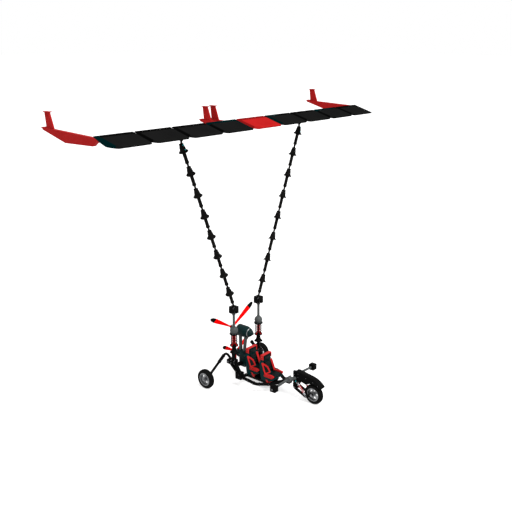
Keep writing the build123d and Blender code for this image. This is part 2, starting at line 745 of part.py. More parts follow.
for row in range(2):
    hip_x = seat_front_x - row * seat_pitch
    hip_z = seat_front_z + row * seat_rise
    foot = keel_top - hip_z

    def seat_plate(points, y, width):
        return plate([(hip_x + u, hip_z + v) for u, v in points], y, width)

    shell_outline = [back_top, (-133.8, head_top), (-200, head_top + 8), (-214, 330), (-178, -60)]
    shell_outline += [(-150, foot), (100, foot), (112, -136), (190, -110), (244, -70)]
    shell_outline += [(240, -40), (10, -40), (-70, 40)]
    head_z = hip_z + head_top
    shell = seat_plate(shell_outline, 0, seat_width)
    shoulder_cut = block((hip_x - 300, hip_x), (head_width / 2, half_seat + 1), (hip_z + 330, head_z + 20))
    shell = shell - both(shoulder_cut)
    shells.append(shell)

    thigh = seat_plate(thigh_outline, -half_seat + 10, thigh_width) - shell
    thighs += both(thigh)
    foot_point = (hip_x + wing_foot[0], -half_seat + 5, hip_z + wing_foot[1])
    lying = Plane(origin=foot_point, x_dir=wing_run, z_dir=wing_normal)
    wing = extrude(lying * wing_face, amount=wing_thickness / 2, both=True)
    wing = wing - extrude(lying * wing_window, amount=wing_thickness, both=True)
    rims += both(wing - shell - thigh)
    panels_in += both(extrude(lying * wing_window, amount=wing_thickness / 2 - panel_recess, both=True))

    bar_x = (hip_x - 200, hip_x - 112)
    cheek_out = head_width / 2 + cheek_thickness
    crown = block(bar_x, (-cheek_out, cheek_out), (head_z + 9, head_z + 9 + trim_thickness))
    cheek = block(bar_x, (head_width / 2 + ball_gap, cheek_out), (head_z - cheek_height, head_z + 10))
    head_trims.append(crown + both(cheek))
    band = seat_plate(base_band, half_seat + ball_gap + trim_thickness / 2, trim_thickness)
    sill_reach = half_seat + ball_gap + trim_thickness
    sill_x = (hip_x + sill_forward, hip_x + sill_forward + sill_length)
    sill = block(sill_x, (-sill_reach, sill_reach), (hip_z - sill_drop, hip_z - sill_drop + sill_height))
    base_trims.append(sill + both(band) - shell)
    pad_width = seat_width - 2 * (thigh_width - 15 + pad_side_gap)
    seat_pads.append(seat_plate(seat_pad_outline, 0, pad_width))
    back_pads.append(seat_plate(back_pad_outline, 0, back_pad_width))
    head_pads.append(seat_plate(head_pad_outline, 0, head_width - 40))
save("seat_shells", *shells)
save("seat_bolster_panels", *panels_in)
save("seat_bolster_rims", *rims)
save("seat_thigh_bars", *thighs)
save("seat_red_trim", *head_trims, *base_trims)
save("seat_pads", *seat_pads)
save("seat_back_pads", *back_pads)
save("seat_head_pads", *head_pads)

# Steered nose gear
half_head = fork_head_width / 2
fender_low = fork_head_top - fender_depth
lug_radius = head_tube_radius + 4
upper_lug_z = (head_tube_top + side_gap, head_tube_top + side_gap + lug_thickness)
lower_lug_z = (head_tube_bottom - side_gap - lug_thickness, head_tube_bottom - side_gap)
fork_x = (fork_head_rear, fork_head_front)
fork_z = (fork_head_bottom, fork_head_top)
fork_head = block(fork_x, (-half_head, half_head), fork_z)
fork_head = chamfer(fork_head.edges().filter_by(Axis.Y), 22)
for lug_z in (upper_lug_z, lower_lug_z):
    lug = block((steer_x, fork_head_rear), (-lug_radius, lug_radius), lug_z)
    fork_head = fork_head + lug + tube((steer_x, 0, lug_z[0]), (steer_x, 0, lug_z[1]), lug_radius)
shock_top = (fork_head_front + 48, fender_low - 56)
bracket_z = (shock_top[1] - 34, shock_top[1] + 34)
shock_bracket = block((fork_head_front - 10, shock_top[0] + 26), (-60, 60), bracket_z)
pin_reach = shock_y + 22
shock_pin = disc(shock_top[0], 0, shock_top[1], 14, 2 * pin_reach)
steer_pin = tube((steer_x, 0, lower_lug_z[0] - 10), (steer_x, 0, upper_lug_z[1] + 10), steer_pin_radius)
arm_y = half_tyre + arm_gap + arm_thickness / 2
arm_out = arm_y + arm_thickness / 2
pivot = disc(arm_pivot_x, 0, arm_pivot_z, 30, 2 * arm_out)
pivot_hole = disc(arm_pivot_x, 0, arm_pivot_z, 30 + running_gap, 2 * arm_out)
save("fork_head", fork_head + shock_bracket + shock_pin - pivot_hole - steer_pin)
save("steering_pin", steer_pin)

arm_bend = (wheelbase - 200, wheel_radius - 92)
arm_points = [(arm_pivot_x, arm_pivot_z), arm_bend, (wheelbase, wheel_radius)]
shock_foot = (arm_bend[0] + 30, arm_bend[1] + 40)


def arm():
    piece = None
    for start, end in zip(arm_points, arm_points[1:]):
        run = bar((start[0], arm_y, start[1]), (end[0], arm_y, end[1]), arm_thickness, 2 * arm_radius)
        ends = disc(start[0], arm_y, start[1], arm_radius, arm_thickness)
        ends = ends + disc(end[0], arm_y, end[1], arm_radius, arm_thickness)
        piece = run + ends if piece is None else piece + run + ends
    pin = disc(shock_foot[0], (arm_y + pin_reach) / 2, shock_foot[1], 14, pin_reach - arm_y)
    return piece + pin


front_axle = disc(wheelbase, 0, wheel_radius, axle_radius, 2 * arm_out + 30)
front_nut = disc(wheelbase, arm_out + 12, wheel_radius, 0.7 * hub_radius, 20)
front_nut = front_nut - disc(wheelbase, arm_out, wheel_radius, axle_radius, 60)
arms = pivot + both(arm()) - front_axle
save("fork_arms", arms)
save("front_axle", front_axle + both(front_nut))


def shock_point(share):
    x = shock_top[0] + share * (shock_foot[0] - shock_top[0])
    z = shock_top[1] + share * (shock_foot[1] - shock_top[1])
    return (x, shock_y, z)


eyes = disc(*shock_point(0), 25, 26) + disc(*shock_point(1), 25, 26)
body = tube(shock_point(0), shock_point(1), 16) + tube(shock_point(0.12), shock_point(0.2), 32)
body = body + tube(shock_point(0.8), shock_point(0.88), 32)
eye_pins = disc(*shock_point(0), 14 + running_gap, 60) + disc(*shock_point(1), 14 + running_gap, 60)
save("shock_bodies", *both(body + eyes - eye_pins))
shock_run = Vector(*shock_point(0.8)) - Vector(*shock_point(0.2))
shock_turns = 5
shock_pitch = shock_run.length / shock_turns
shock_points = [(16 + ball_gap, 0)]
for turn in range(shock_turns):
    shock_points.append((22, turn * shock_pitch))
    shock_points.append((32, (turn + 0.35) * shock_pitch))
    shock_points.append((32, (turn + 0.65) * shock_pitch))
shock_points.append((22, shock_run.length))
shock_points.append((16 + ball_gap, shock_run.length))
shock_points.append(shock_points[0])
spring = Plane(origin=shock_point(0.2), z_dir=shock_run) * turned(steps(*shock_points))
save("shock_springs", *both(spring))

half_fender = fender_width / 2
crest = (wheelbase - 76, fender_crest_z)
brow = (wheelbase + 126, fender_brow_z)
tip = (fender_tip_x, fender_tip_z)
fender_outline = Polyline((fork_head_front, fender_low), (fork_head_front, fork_head_top), crest)
fender_outline = fender_outline + ThreePointArc(crest, brow, tip)
fender_outline = fender_outline + Polyline(
    tip,
    (fender_tip_x - 12, fender_tip_z - 26),
    (wheelbase + 169, fender_skirt_z - 16),
    (wheelbase - 221, fender_skirt_z),
    (fork_head_front, fender_low),
)
fender_side = Plane(origin=(0, half_fender, 0), x_dir=(1, 0, 0), z_dir=(0, -1, 0))
fender = extrude(fender_side * make_face(fender_outline.edges()), amount=fender_width)
save("fender", fender - disc(wheelbase, 0, wheel_radius, wheel_radius + fender_clearance, fender_width))

hub_x = peg_x + 10
stub = bar((fork_head_rear + 40, half_head, bar_z), (hub_x, diamond_y - 15, bar_z), stub_side, stub_side)
diamond = Pos(hub_x, diamond_y, bar_z) * Rot(0, 45, 0) * Box(diamond_side, 110, diamond_side)
peg_in = peg_y - peg_side / 2
bar_arm = bar((hub_x, diamond_y, bar_z), (peg_x, peg_in, peg_z + 8), bar_side, bar_side)
peg = Pos(peg_x, peg_y, peg_z) * Box(peg_side, peg_side, peg_side)
fork_side = block(fork_x, (0, half_head), fork_z)
save("foot_bar_arms", *both(stub + diamond + bar_arm - fork_side - peg))
save("foot_pegs", *both(chamfer(peg.edges(), 10)))
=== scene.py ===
import bpy
import bmesh
import json
from math import cos, pi, radians, sin, tau
from mathutils import Matrix, Vector

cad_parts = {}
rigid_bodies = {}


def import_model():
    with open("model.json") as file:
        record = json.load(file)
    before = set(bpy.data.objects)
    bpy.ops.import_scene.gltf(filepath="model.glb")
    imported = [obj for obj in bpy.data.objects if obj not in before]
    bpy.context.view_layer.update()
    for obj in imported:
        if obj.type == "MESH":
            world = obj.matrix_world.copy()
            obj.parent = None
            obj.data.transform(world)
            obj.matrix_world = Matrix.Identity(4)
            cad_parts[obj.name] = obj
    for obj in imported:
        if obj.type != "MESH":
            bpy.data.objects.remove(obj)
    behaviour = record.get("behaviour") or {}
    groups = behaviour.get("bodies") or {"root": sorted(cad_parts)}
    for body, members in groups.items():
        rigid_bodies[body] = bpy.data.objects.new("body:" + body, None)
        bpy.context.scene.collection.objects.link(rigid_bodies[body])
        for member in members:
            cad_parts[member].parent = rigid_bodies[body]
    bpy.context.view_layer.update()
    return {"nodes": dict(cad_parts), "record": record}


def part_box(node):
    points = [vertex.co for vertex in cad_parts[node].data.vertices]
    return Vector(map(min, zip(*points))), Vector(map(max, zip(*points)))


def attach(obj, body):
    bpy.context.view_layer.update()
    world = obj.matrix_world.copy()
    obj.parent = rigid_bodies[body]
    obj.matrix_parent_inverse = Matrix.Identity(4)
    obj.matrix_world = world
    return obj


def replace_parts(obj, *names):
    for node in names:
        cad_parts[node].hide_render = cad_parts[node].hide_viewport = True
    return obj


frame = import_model()
nodes = frame["nodes"]
sceneObjects = bpy.context.scene.collection.objects
print("solids loaded:", len(nodes))


class Wire:  # one output socket, with maths written as plain expressions
    def __init__(self, finish, socket):
        self.finish = finish
        self.socket = socket

    def calc(self, operation, first, second):
        return self.finish.node("ShaderNodeMath", {"operation": operation}, {0: first, 1: second})

    def __add__(self, other):
        return self.calc("ADD", self, other)

    def __radd__(self, other):
        return self.calc("ADD", other, self)

    def __sub__(self, other):
        return self.calc("SUBTRACT", self, other)

    def __rsub__(self, other):
        return self.calc("SUBTRACT", other, self)

    def __mul__(self, other):
        return self.calc("MULTIPLY", self, other)

    def __rmul__(self, other):
        return self.calc("MULTIPLY", other, self)

    def __gt__(self, other):
        return self.calc("GREATER_THAN", self, other)


class Finish:  # one material with a Principled shader
    def __init__(self, name, **fixed):
        self.material = bpy.data.materials.new(name)
        self.material.use_nodes = True
        self.tree = self.material.node_tree
        self.tree.nodes.clear()
        self.shader = self.tree.nodes.new("ShaderNodeBsdfPrincipled")
        out = self.tree.nodes.new("ShaderNodeOutputMaterial")
        self.tree.links.new(self.shader.outputs[0], out.inputs[0])
        self.place = self.node("ShaderNodeTexCoord", out="Object")
        self.feed(**fixed)

    def node(self, kind, settings=None, inputs=None, out=0):
        made = self.tree.nodes.new(kind)
        for key, value in (settings or {}).items():
            setattr(made, key, value)
        for key, value in (inputs or {}).items():
            self.plug(made.inputs[key], value)
        return Wire(self, made.outputs[out])

    def plug(self, socket, value):
        if isinstance(value, Wire):
            self.tree.links.new(value.socket, socket)
        else:
            socket.default_value = value

    def feed(self, **values):
        for key, value in values.items():
            self.plug(self.shader.inputs[key.replace("_", " ")], value)

    def speckle(self, scale, detail=4.0, rough=0.55, stretch=(1, 1, 1)):
        where = self.place
        if stretch != (1, 1, 1):
            where = self.node("ShaderNodeMapping", inputs={"Vector": where, "Scale": stretch})
        settings = {"Vector": where, "Scale": scale, "Detail": detail, "Roughness": rough}
        return self.node("ShaderNodeTexNoise", inputs=settings)

    def axisOf(self, vector, letter):
        return self.node("ShaderNodeSeparateXYZ", inputs={0: vector}, out=letter)

    def mix(self, share, first, second):
        return self.node("ShaderNodeMix", {"data_type": "RGBA"}, {0: share, 6: first, 7: second}, out=2)

    def span(self, value, low, high, toLow, toHigh):
        return self.node("ShaderNodeMapRange", inputs={0: value, 1: low, 2: high, 3: toLow, 4: toHigh})

    def patches(self, scale, low=0.35):  # soft clouds, from none to full
        return self.span(self.speckle(scale), low, 0.7, 0.0, 1.0)

    def sheen(self, scale, low, high, top=0.75):  # uneven roughness
        return self.span(self.speckle(scale), 0.3, top, low, high)

    def relief(self, height, strength, depth):
        return self.node("ShaderNodeBump", inputs={"Strength": strength, "Distance": depth, "Height": height})


def shade(red, green, blue):
    return (red, green, blue, 1.0)


def grey(level):
    return shade(level, level, level)


def reach(node):  # the low and high corners of a solid
    low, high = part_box(node)
    return Vector(low), Vector(high)


def middle(node):
    low, high = reach(node)
    return (low + high) / 2


axle = middle("tyre_rear_left")
xWay, yWay, zWay = Vector((1, 0, 0)), Vector((0, 1, 0)), Vector((0, 0, 1))
sides = (1, -1)


def spot(x, y, z, side=1):  # a place given from the rear axle, on the left or the right
    return Vector((axle.x + x, side * y, z))


def aheadOf(node):  # how far a solid's middle is in front of the rear axle
    return middle(node).x - axle.x


# the panels' section: places along the chord and up from it, in a frame that leans back from the nose
wing = {
    "nose": (1.118, 6.672), "lean": 17.2, "pitch": 1.030, "panels": 9, "bevel": 0.098,
    # the teal tint and the stretches listed with it are a painted teal reflection on the black panels
    "crease": (0.474, 0.024), "front": (0.120, 0.0304), "reflectionTint": shade(0.0, 0.0062, 0.0068),
    "paintedReflection": ((-4.7, -4.48, True), (-1.56, -0.62, False), (-0.62, -0.5, True), (0.5, 0.64, True),
             (0.64, 0.95, False), (2.55, 3.45, False)),  # from, to, whole chord or flap alone
}
wingLean = radians(wing["lean"])


def wingStrips(f, paint, paintedShade, reflectionBands):  # painted shade on the steep ends and flaps, and a painted teal reflection on some stretches
    across = f.axisOf(f.place, "Y")
    back = axle.x + wing["nose"][0] - f.axisOf(f.place, "X")
    rise = f.axisOf(f.place, "Z") - wing["nose"][1]
    behind = back * cos(wingLean) + rise * sin(wingLean) > wing["crease"][0]
    # the strip behind the crease gets painted shade
    paint = f.mix(behind, paint, paintedShade)
    panels = (across + wing["panels"] * wing["pitch"] / 2) * (1.0 / wing["pitch"])
    inPanel = f.node("ShaderNodeMath", {"operation": "FRACT"}, {0: panels})
    # the steep end of each panel gets painted shade
    paint = f.mix(1.0 - (inPanel > wing["bevel"] / wing["pitch"]), paint, paintedShade)
    paintedReflection = 0.0
    # painted teal reflection on the listed stretches, on the whole chord or the flap alone
    for low, high, whole in reflectionBands:
        band = (across > low) * (1.0 - (across > high))
        paintedReflection = band * (1.0 if whole else behind) + paintedReflection
    return f.mix(paintedReflection, paint, wing["reflectionTint"])


mouldedLook = {"patch": 2.3, "sheen": 14.0, "spread": (-0.07, 0.1), "relief": 0.35, "depth": 0.0004}


def moulded(name, colour, worn, rough=0.5, grain=900.0, gloss=0.02, paintedShade=None, reflectionBands=()):
    look = mouldedLook
    f = Finish(name, Specular_IOR_Level=gloss)
    paint = f.mix(f.patches(look["patch"]), colour, worn)
    low, high = look["spread"]
    # when a shade colour is given, painted shade and painted reflection are laid on the paint
    f.feed(Base_Color=wingStrips(f, paint, paintedShade, reflectionBands) if paintedShade else paint)
    f.feed(Roughness=f.sheen(look["sheen"], rough + low, rough + high))
    f.feed(Normal=f.relief(f.speckle(grain, detail=2.0), look["relief"], look["depth"]))
    return f.material


paintedLook = {
    "patch": 3.0, "patchFrom": 0.4, "sheen": 22.0, "spread": (-0.08, 0.1),
    "scuff": 34.0, "scuffWay": (1, 1, 0.25), "scuffSpan": (0.66, 0.74, 0.0, 0.55), "scuffRough": 0.15,
    "rubbed": 1.6, "dust": 0.002, "peel": 260.0, "relief": 0.2, "depth": 0.0006,
}


def painted(name, colour, worn, rough=0.42, metal=0.0, gloss=0.25):  # fine rubbed marks, slight orange peel
    look = paintedLook
    f = Finish(name, Metallic=metal, Specular_IOR_Level=gloss)
    paint = f.mix(f.patches(look["patch"], look["patchFrom"]), colour, worn)
    marks = f.speckle(look["scuff"], detail=6.0, rough=0.7, stretch=look["scuffWay"])
    scuffs = f.span(marks, *look["scuffSpan"])
    rubbed = shade(*(min(1.0, look["rubbed"] * part + look["dust"]) for part in worn[:3]))
    low, high = look["spread"]
    f.feed(Base_Color=f.mix(scuffs, paint, rubbed))
    f.feed(Roughness=f.sheen(look["sheen"], rough + low, rough + high) + scuffs * look["scuffRough"])
    f.feed(Normal=f.relief(f.speckle(look["peel"], detail=2.0), look["relief"], look["depth"]))
    return f.material


machinedLook = {"lines": 26.0, "band": (0.3, 0.7), "spread": (-0.08, 0.12), "relief": 0.25, "depth": 0.0004}


def machined(name, colour, dark, rough=0.34, streak=(1, 1, 40)):
    look = machinedLook
    f = Finish(name, Metallic=1.0)
    lines = f.speckle(look["lines"], detail=6.0, rough=0.6, stretch=streak)
    low, high = look["spread"]
    f.feed(Base_Color=f.mix(f.span(lines, *look["band"], 0.0, 1.0), colour, dark))
    f.feed(Roughness=f.span(lines, *look["band"], rough + low, rough + high))
    f.feed(Normal=f.relief(lines, look["relief"], look["depth"]))
    return f.material


hideLook = {"gloss": 0.08, "patch": 5.0, "sheen": 30.0, "rough": (0.52, 0.68), "cells": 260.0, "crease": 0.12,
            "relief": 0.4, "depth": 0.0008}


def hide(name, colour, worn):  # grained cover of the pads
    look = hideLook
    f = Finish(name, Specular_IOR_Level=look["gloss"])
    cells = f.node("ShaderNodeTexVoronoi", {"feature": "DISTANCE_TO_EDGE"},
                   {"Vector": f.place, "Scale": look["cells"]})
    f.feed(Base_Color=f.mix(f.patches(look["patch"]), colour, worn))
    f.feed(Roughness=f.sheen(look["sheen"], *look["rough"], top=0.7))
    f.feed(Normal=f.relief(f.span(cells, 0.0, look["crease"], 0.0, 1.0), look["relief"], look["depth"]))
    return f.material


finishes = {
    "black_frame": painted("frameBlack", shade(0.0012, 0.0013, 0.0014), shade(0.0024, 0.0026, 0.0027),
                           rough=0.45, gloss=0.02),
    # black panels: the darker colour is painted shade on steep ends and flaps, and the listed stretches get a
    # painted teal reflection
    "black_panel": moulded("panelBlack", grey(0.0052), grey(0.0062), rough=0.62, gloss=0.0,
                           paintedShade=grey(0.0015), reflectionBands=wing["paintedReflection"]),
    "red_panel": moulded("panelRed", shade(0.245, 0.0068, 0.0068), shade(0.275, 0.0080, 0.0080)),
    "riser_black": moulded("riserBlack", shade(0.0026, 0.0024, 0.0023), shade(0.0050, 0.0046, 0.0044),
                           rough=0.55),
    "grey_metal": painted("mastGrey", shade(0.046, 0.050, 0.050), shade(0.060, 0.065, 0.065),
                          rough=0.5, metal=0.1, gloss=0.08),
    "rim_silver": machined("rimSilver", shade(0.26, 0.27, 0.27), shade(0.16, 0.16, 0.17)),
    "tyre": moulded("tyreRubber", grey(0.0026), shade(0.0048, 0.0048, 0.0046),
                    rough=0.68, grain=500.0, gloss=0.03),
    "seat_shell": moulded("shellTeal", shade(0.0008, 0.017, 0.018), shade(0.0014, 0.023, 0.024),
                          rough=0.42, grain=600.0, gloss=0.05),
    "seat_pad": hide("padCover", shade(0.0010, 0.0034, 0.0034), shade(0.0022, 0.0056, 0.0056)),
    "red_trim": moulded("trimRed", shade(0.33, 0.0105, 0.0105), shade(0.38, 0.0135, 0.0135),
                        rough=0.42, gloss=0.05),
    "spring_red": painted("springRed", shade(0.42, 0.004, 0.004), shade(0.50, 0.007, 0.007),
                          rough=0.36, gloss=0.08),
    "blade_red": painted("bladeRed", shade(0.80, 0.0005, 0.0005), shade(0.86, 0.001, 0.001),
                         rough=0.4, gloss=0.02),
    "blade_tip": painted("bladeTip", grey(0.0016), grey(0.003), rough=0.4, gloss=0.03),
    "motor_teal": painted("motorTeal", shade(0.0018, 0.0098, 0.0102), shade(0.0028, 0.0135, 0.014),
                          gloss=0.06),
    "steel": machined("pinSteel", shade(0.30, 0.30, 0.31), shade(0.20, 0.20, 0.21), rough=0.3),
}
# the cyan of these pins is a painted glint
paintedGlint = painted("paintedGlint", shade(0.0, 0.42, 0.45), shade(0.01, 0.5, 0.52), rough=0.4)
zinc = machined("boltZinc", shade(0.22, 0.22, 0.23), shade(0.14, 0.14, 0.15), rough=0.38, streak=(1, 1, 1))
deepBlack = moulded("deepBlack", grey(0.0012), grey(0.0024))
# centre panel: its darker colour is painted shade on its steep ends and flap
centreRed = moulded("centreRed", shade(0.265, 0.0078, 0.0078), shade(0.30, 0.0095, 0.0095), gloss=0.0,
                    paintedShade=shade(0.15, 0.0045, 0.0045))
ownFinish = {"fender": deepBlack, "foot_pegs": deepBlack, "side_boxes": deepBlack, "hang_blocks": deepBlack,
             "wing_ribs": deepBlack, "wing_panel_centre": centreRed}
slotOf = {part["node"]: part["material_slot"] for part in frame["record"]["subparts"]}
for name, obj in nodes.items():
    obj.data.materials.clear()
    obj.data.materials.append(ownFinish.get(name, finishes[slotOf[name]]))
print("finishes on:", len(finishes))


def settle(bm, name, body, materials, smooth=35):  # the mesh becomes a piece that rides on a body
    mesh = bpy.data.meshes.new(name)
    bm.to_mesh(mesh)
    bm.free()
    for material in materials:
        mesh.materials.append(material)
    mesh.polygons.foreach_set("use_smooth", [True] * len(mesh.polygons))
    mesh.set_sharp_from_angle(angle=radians(smooth))
    obj = bpy.data.objects.new(name, mesh)
    sceneObjects.link(obj)
    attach(obj, body)
    return obj


def facing(where, aim):  # a frame at a point, its Z along aim
    return Matrix.Translation(where) @ Vector(aim).to_track_quat("Z", "X").to_matrix().to_4x4()


def circle(radius, count, axis, first=0.0):  # places round an axis, the first so many steps on
    for index in range(count):
        turn = tau * (index + first) / count
        a, b = radius * cos(turn), radius * sin(turn)
        yield Vector({"X": (0, a, b), "Y": (a, 0, b), "Z": (a, b, 0)}[axis])


def absorb(bm, part, seat, tint=0):  # a small mesh joins a piece, set at its place; tint counts its materials
    bmesh.ops.transform(part, matrix=seat, verts=part.verts)
    bmesh.ops.recalc_face_normals(part, faces=part.faces)
    for face in part.faces:
        face.material_index = tint
    carrier = bpy.data.meshes.new("carrier")
    part.to_mesh(carrier)
    part.free()
    bm.from_mesh(carrier)
    bpy.data.meshes.remove(carrier)


boltShape = {"washer": (1.25, 1.2, 0.24, 16), "head": (1.0, 0.94, 0.7, 6), "sunk": 0.04}  # shares of its size


def addBolt(bm, where, aim, size, tint=0):  # hex head on its washer
    part = bmesh.new()
    base = 0.0
    for key in ("washer", "head"):
        foot, top, height, corners = boltShape[key]
        seat = Matrix.Translation((0, 0, (base + height / 2) * size))
        bmesh.ops.create_cone(part, cap_ends=True, segments=corners, radius1=foot * size, radius2=top * size,
                              depth=height * size, matrix=seat)
        base = height - boltShape["sunk"]
    absorb(bm, part, facing(where, aim), tint)


def addPeg(bm, where, aim, radius, length, tint=0, corners=18, taper=1.0):  # a turned peg standing on a point
    part = bmesh.new()
    bmesh.ops.create_cone(part, cap_ends=True, segments=corners, radius1=radius, radius2=taper * radius,
                          depth=length, matrix=Matrix.Translation((0, 0, length / 2)))
    absorb(bm, part, facing(where, aim), tint)


def addPin(bm, where, aim, radius, length, tint=0):  # a round-headed joint pin
    addPeg(bm, where, aim, radius, length, tint, corners=14, taper=0.8)


def addScrew(bm, where, aim, radius, height, tint=0):  # a small domed screw or rivet
    addPeg(bm, where, aim, radius, height, tint, corners=8, taper=0.7)


def wireLoop(part, radius, wire, corners, capped):
    tilt = Matrix.Translation((radius, 0, 0)) @ Matrix.Rotation(pi / 2, 4, "X")
    bmesh.ops.create_circle(part, cap_ends=capped, segments=corners, radius=wire, matrix=tilt)
    return part.verts[:] + part.edges[:] + part.faces[:]


def addRing(bm, where, aim, radius, wire, tint=0, steps=40):  # a round bead about an axis
    part = bmesh.new()
    loop = wireLoop(part, radius, wire, 8, False)
    bmesh.ops.spin(part, geom=loop, cent=(0, 0, 0), axis=zWay, angle=tau, steps=steps, use_merge=True)
    absorb(bm, part, facing(where, aim), tint)


def addCoil(bm, foot, head, radius, wire, turns, perTurn=24):  # round wire wound about an axis
    part = bmesh.new()
    run = head - foot
    steps = turns * perTurn
    loop = wireLoop(part, radius, wire, 10, True)
    bmesh.ops.spin(part, geom=loop, cent=(0, 0, 0), axis=zWay, dvec=zWay * (run.length / steps),
                   angle=tau * turns, steps=steps)
    absorb(bm, part, facing(foot, run))


def spinOutline(part, outline, axis, steps):  # a closed outline turned about an axis through the origin
    verts = [part.verts.new(point) for point in outline]
    edges = [part.edges.new(pair) for pair in zip(verts, verts[1:] + verts[:1])]
    bmesh.ops.spin(part, geom=verts + edges, cent=(0, 0, 0), axis=axis, angle=tau, steps=steps, use_merge=True)


def addCollar(bm, where, aim, inner, outer, length, tint=0, steps=28):  # a turned sleeve with eased rims
    part = bmesh.new()
    ease = 0.3 * (outer - inner)
    half = length / 2
    section = [(inner, -half), (outer - ease, -half), (outer, ease - half),
               (outer, half - ease), (outer - ease, half), (inner, half)]
    spinOutline(part, [(r, 0, h) for r, h in section], zWay, steps)
    absorb(bm, part, facing(where, aim), tint)


def addBlock(bm, where, size, ease=0.003, tint=0, turn=Matrix()):  # a block with rounded edges
    part = bmesh.new()
    bmesh.ops.create_cube(part, size=1.0)
    bmesh.ops.scale(part, vec=size, verts=part.verts)
    bmesh.ops.bevel(part, geom=part.edges[:], offset=ease, segments=2, profile=0.5, affect="EDGES", material=-1)
    absorb(bm, part, Matrix.Translation(where) @ turn, tint)


# tyres: crowned tread with two rings of grooves and cut shoulder lugs
tyreShape = {
    "half": [(0.168, 0.060), (0.180, 0.0648), (0.190, 0.0668), (0.192, 0.0684), (0.196, 0.0684), (0.198, 0.0676),
             (0.212, 0.0680), (0.228, 0.0650), (0.239, 0.0588), (0.246, 0.0517), (0.2518, 0.0360),
             (0.2552, 0.0210), (0.2490, 0.0195), (0.2490, 0.0155), (0.2561, 0.0140)],  # radius, half width
    "crown": 0.257, "steps": 144, "shoulder": (0.021, 0.052), "shoulderRadius": 0.246,
    "lugDepth": 0.006, "lugDraft": 0.0006, "lugEvery": 3,
}


def dressTyre(node, body):
    bm = bmesh.new()
    half = tyreShape["half"]
    outline = half + [(tyreShape["crown"], 0.0)] + [(r, -w) for r, w in reversed(half)]
    spinOutline(bm, [(r, w, 0) for r, w in outline], yWay, tyreShape["steps"])
    bmesh.ops.recalc_face_normals(bm, faces=bm.faces)
    inner, outer = tyreShape["shoulder"]
    cuts = []
    for face in bm.faces:
        at = face.calc_center_median()
        if inner < abs(at.y) < outer and at.xz.length > tyreShape["shoulderRadius"]:
            step = int(tyreShape["steps"] * ((at.xz.angle_signed(Vector((1, 0))) / tau) % 1.0))
            if (step + (at.y > 0)) % tyreShape["lugEvery"] == 0:
                cuts.append(face)
    bmesh.ops.inset_individual(bm, faces=cuts, thickness=tyreShape["lugDraft"], depth=-tyreShape["lugDepth"])
    bmesh.ops.translate(bm, verts=bm.verts, vec=middle(node))
    obj = settle(bm, node + "Dressed", body, [finishes["tyre"]], 40)
    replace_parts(obj, node)


wheelBodies = {"front": "front_wheel", "rear_left": "rear_wheel_left", "rear_right": "rear_wheel_right"}
rimFit = {
    "bolts": 5, "firstBolt": 1.75, "boltCircle": 0.070, "boltSize": 0.0085, "plate": 0.012,
    "beads": ((0.0595, 0.1585, 0.0035), (0.0585, 0.040, 0.003)),  # out from the middle, radius, wire
    "valve": 0.142, "valveStem": (0.005, 0.040),
}
for place, body in wheelBodies.items():
    dressTyre("tyre_" + place, body)
    hub = middle("rim_" + place)
    bm = bmesh.new()
    for side in sides:
        face = hub + yWay * (side * rimFit["plate"])
        for stud in circle(rimFit["boltCircle"], rimFit["bolts"], "Y", rimFit["firstBolt"]):
            addBolt(bm, face + stud, yWay * side, rimFit["boltSize"])
        for out, radius, wire in rimFit["beads"]:
            addRing(bm, hub + yWay * (side * out), yWay, radius, wire)
    valve = hub + Vector((0, -rimFit["plate"], rimFit["valve"]))
    addPeg(bm, valve, -yWay, *rimFit["valveStem"], corners=10, taper=0.8)
    settle(bm, "rimFittings_" + place, body, [zinc])
print("wheels dressed")

# springs: wound wire in the masts and the nose struts, red lugs on the mast flanges
hangLow, hangHigh = reach("hang_blocks")
cageLow, cageHigh = reach("mast_struts")
mast = {"x": aheadOf("hang_blocks"), "flange": cageLow.z, "cage": 0.295, "hang": hangLow.z,
        "block": hangHigh.z - hangLow.z}
mast["y"] = hangHigh.y - mast["block"] / 2
mastSpring = {
    "radius": 0.0415, "wire": 0.0098, "turns": 6, "clear": 0.016,
    "lugs": 4, "lugCircle": 0.0848, "lug": (0.013, 0.022), "nut": (0.010, 0.008),  # radius, height
}
bm = bmesh.new()
for side in sides:
    base = spot(mast["x"], mast["y"], mast["flange"], side)
    inset = zWay * (mastSpring["clear"] + mastSpring["wire"])
    addCoil(bm, base + inset, base + zWay * mast["cage"] - inset, mastSpring["radius"], mastSpring["wire"],
            mastSpring["turns"])
    for out in circle(mastSpring["lugCircle"], mastSpring["lugs"], "Z"):
        lug = base + out
        addPeg(bm, lug, zWay, *mastSpring["lug"])
        addPeg(bm, lug + zWay * mastSpring["lug"][1], zWay, *mastSpring["nut"], corners=6, taper=0.92)
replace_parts(settle(bm, "mastCoils", "chassis", [finishes["spring_red"]]), "mast_springs")

shock = {"top": (2.198, 0.474), "foot": (2.451, 0.205), "boltY": 0.142, "boltSize": 0.013}
noseSpring = {"y": 0.120, "from": 0.2, "to": 0.8, "radius": 0.0245, "wire": 0.0072, "turns": 6}
bm = bmesh.new()
for side in sides:
    top = spot(shock["top"][0], noseSpring["y"], shock["top"][1], side)
    foot = spot(shock["foot"][0], noseSpring["y"], shock["foot"][1], side)
    inset = (foot - top).normalized() * noseSpring["wire"]
    addCoil(bm, top.lerp(foot, noseSpring["from"]) + inset, top.lerp(foot, noseSpring["to"]) - inset,
            noseSpring["radius"], noseSpring["wire"], noseSpring["turns"])
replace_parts(settle(bm, "noseCoils", "steering", [finishes["spring_red"]]), "shock_springs")
print("springs wound")

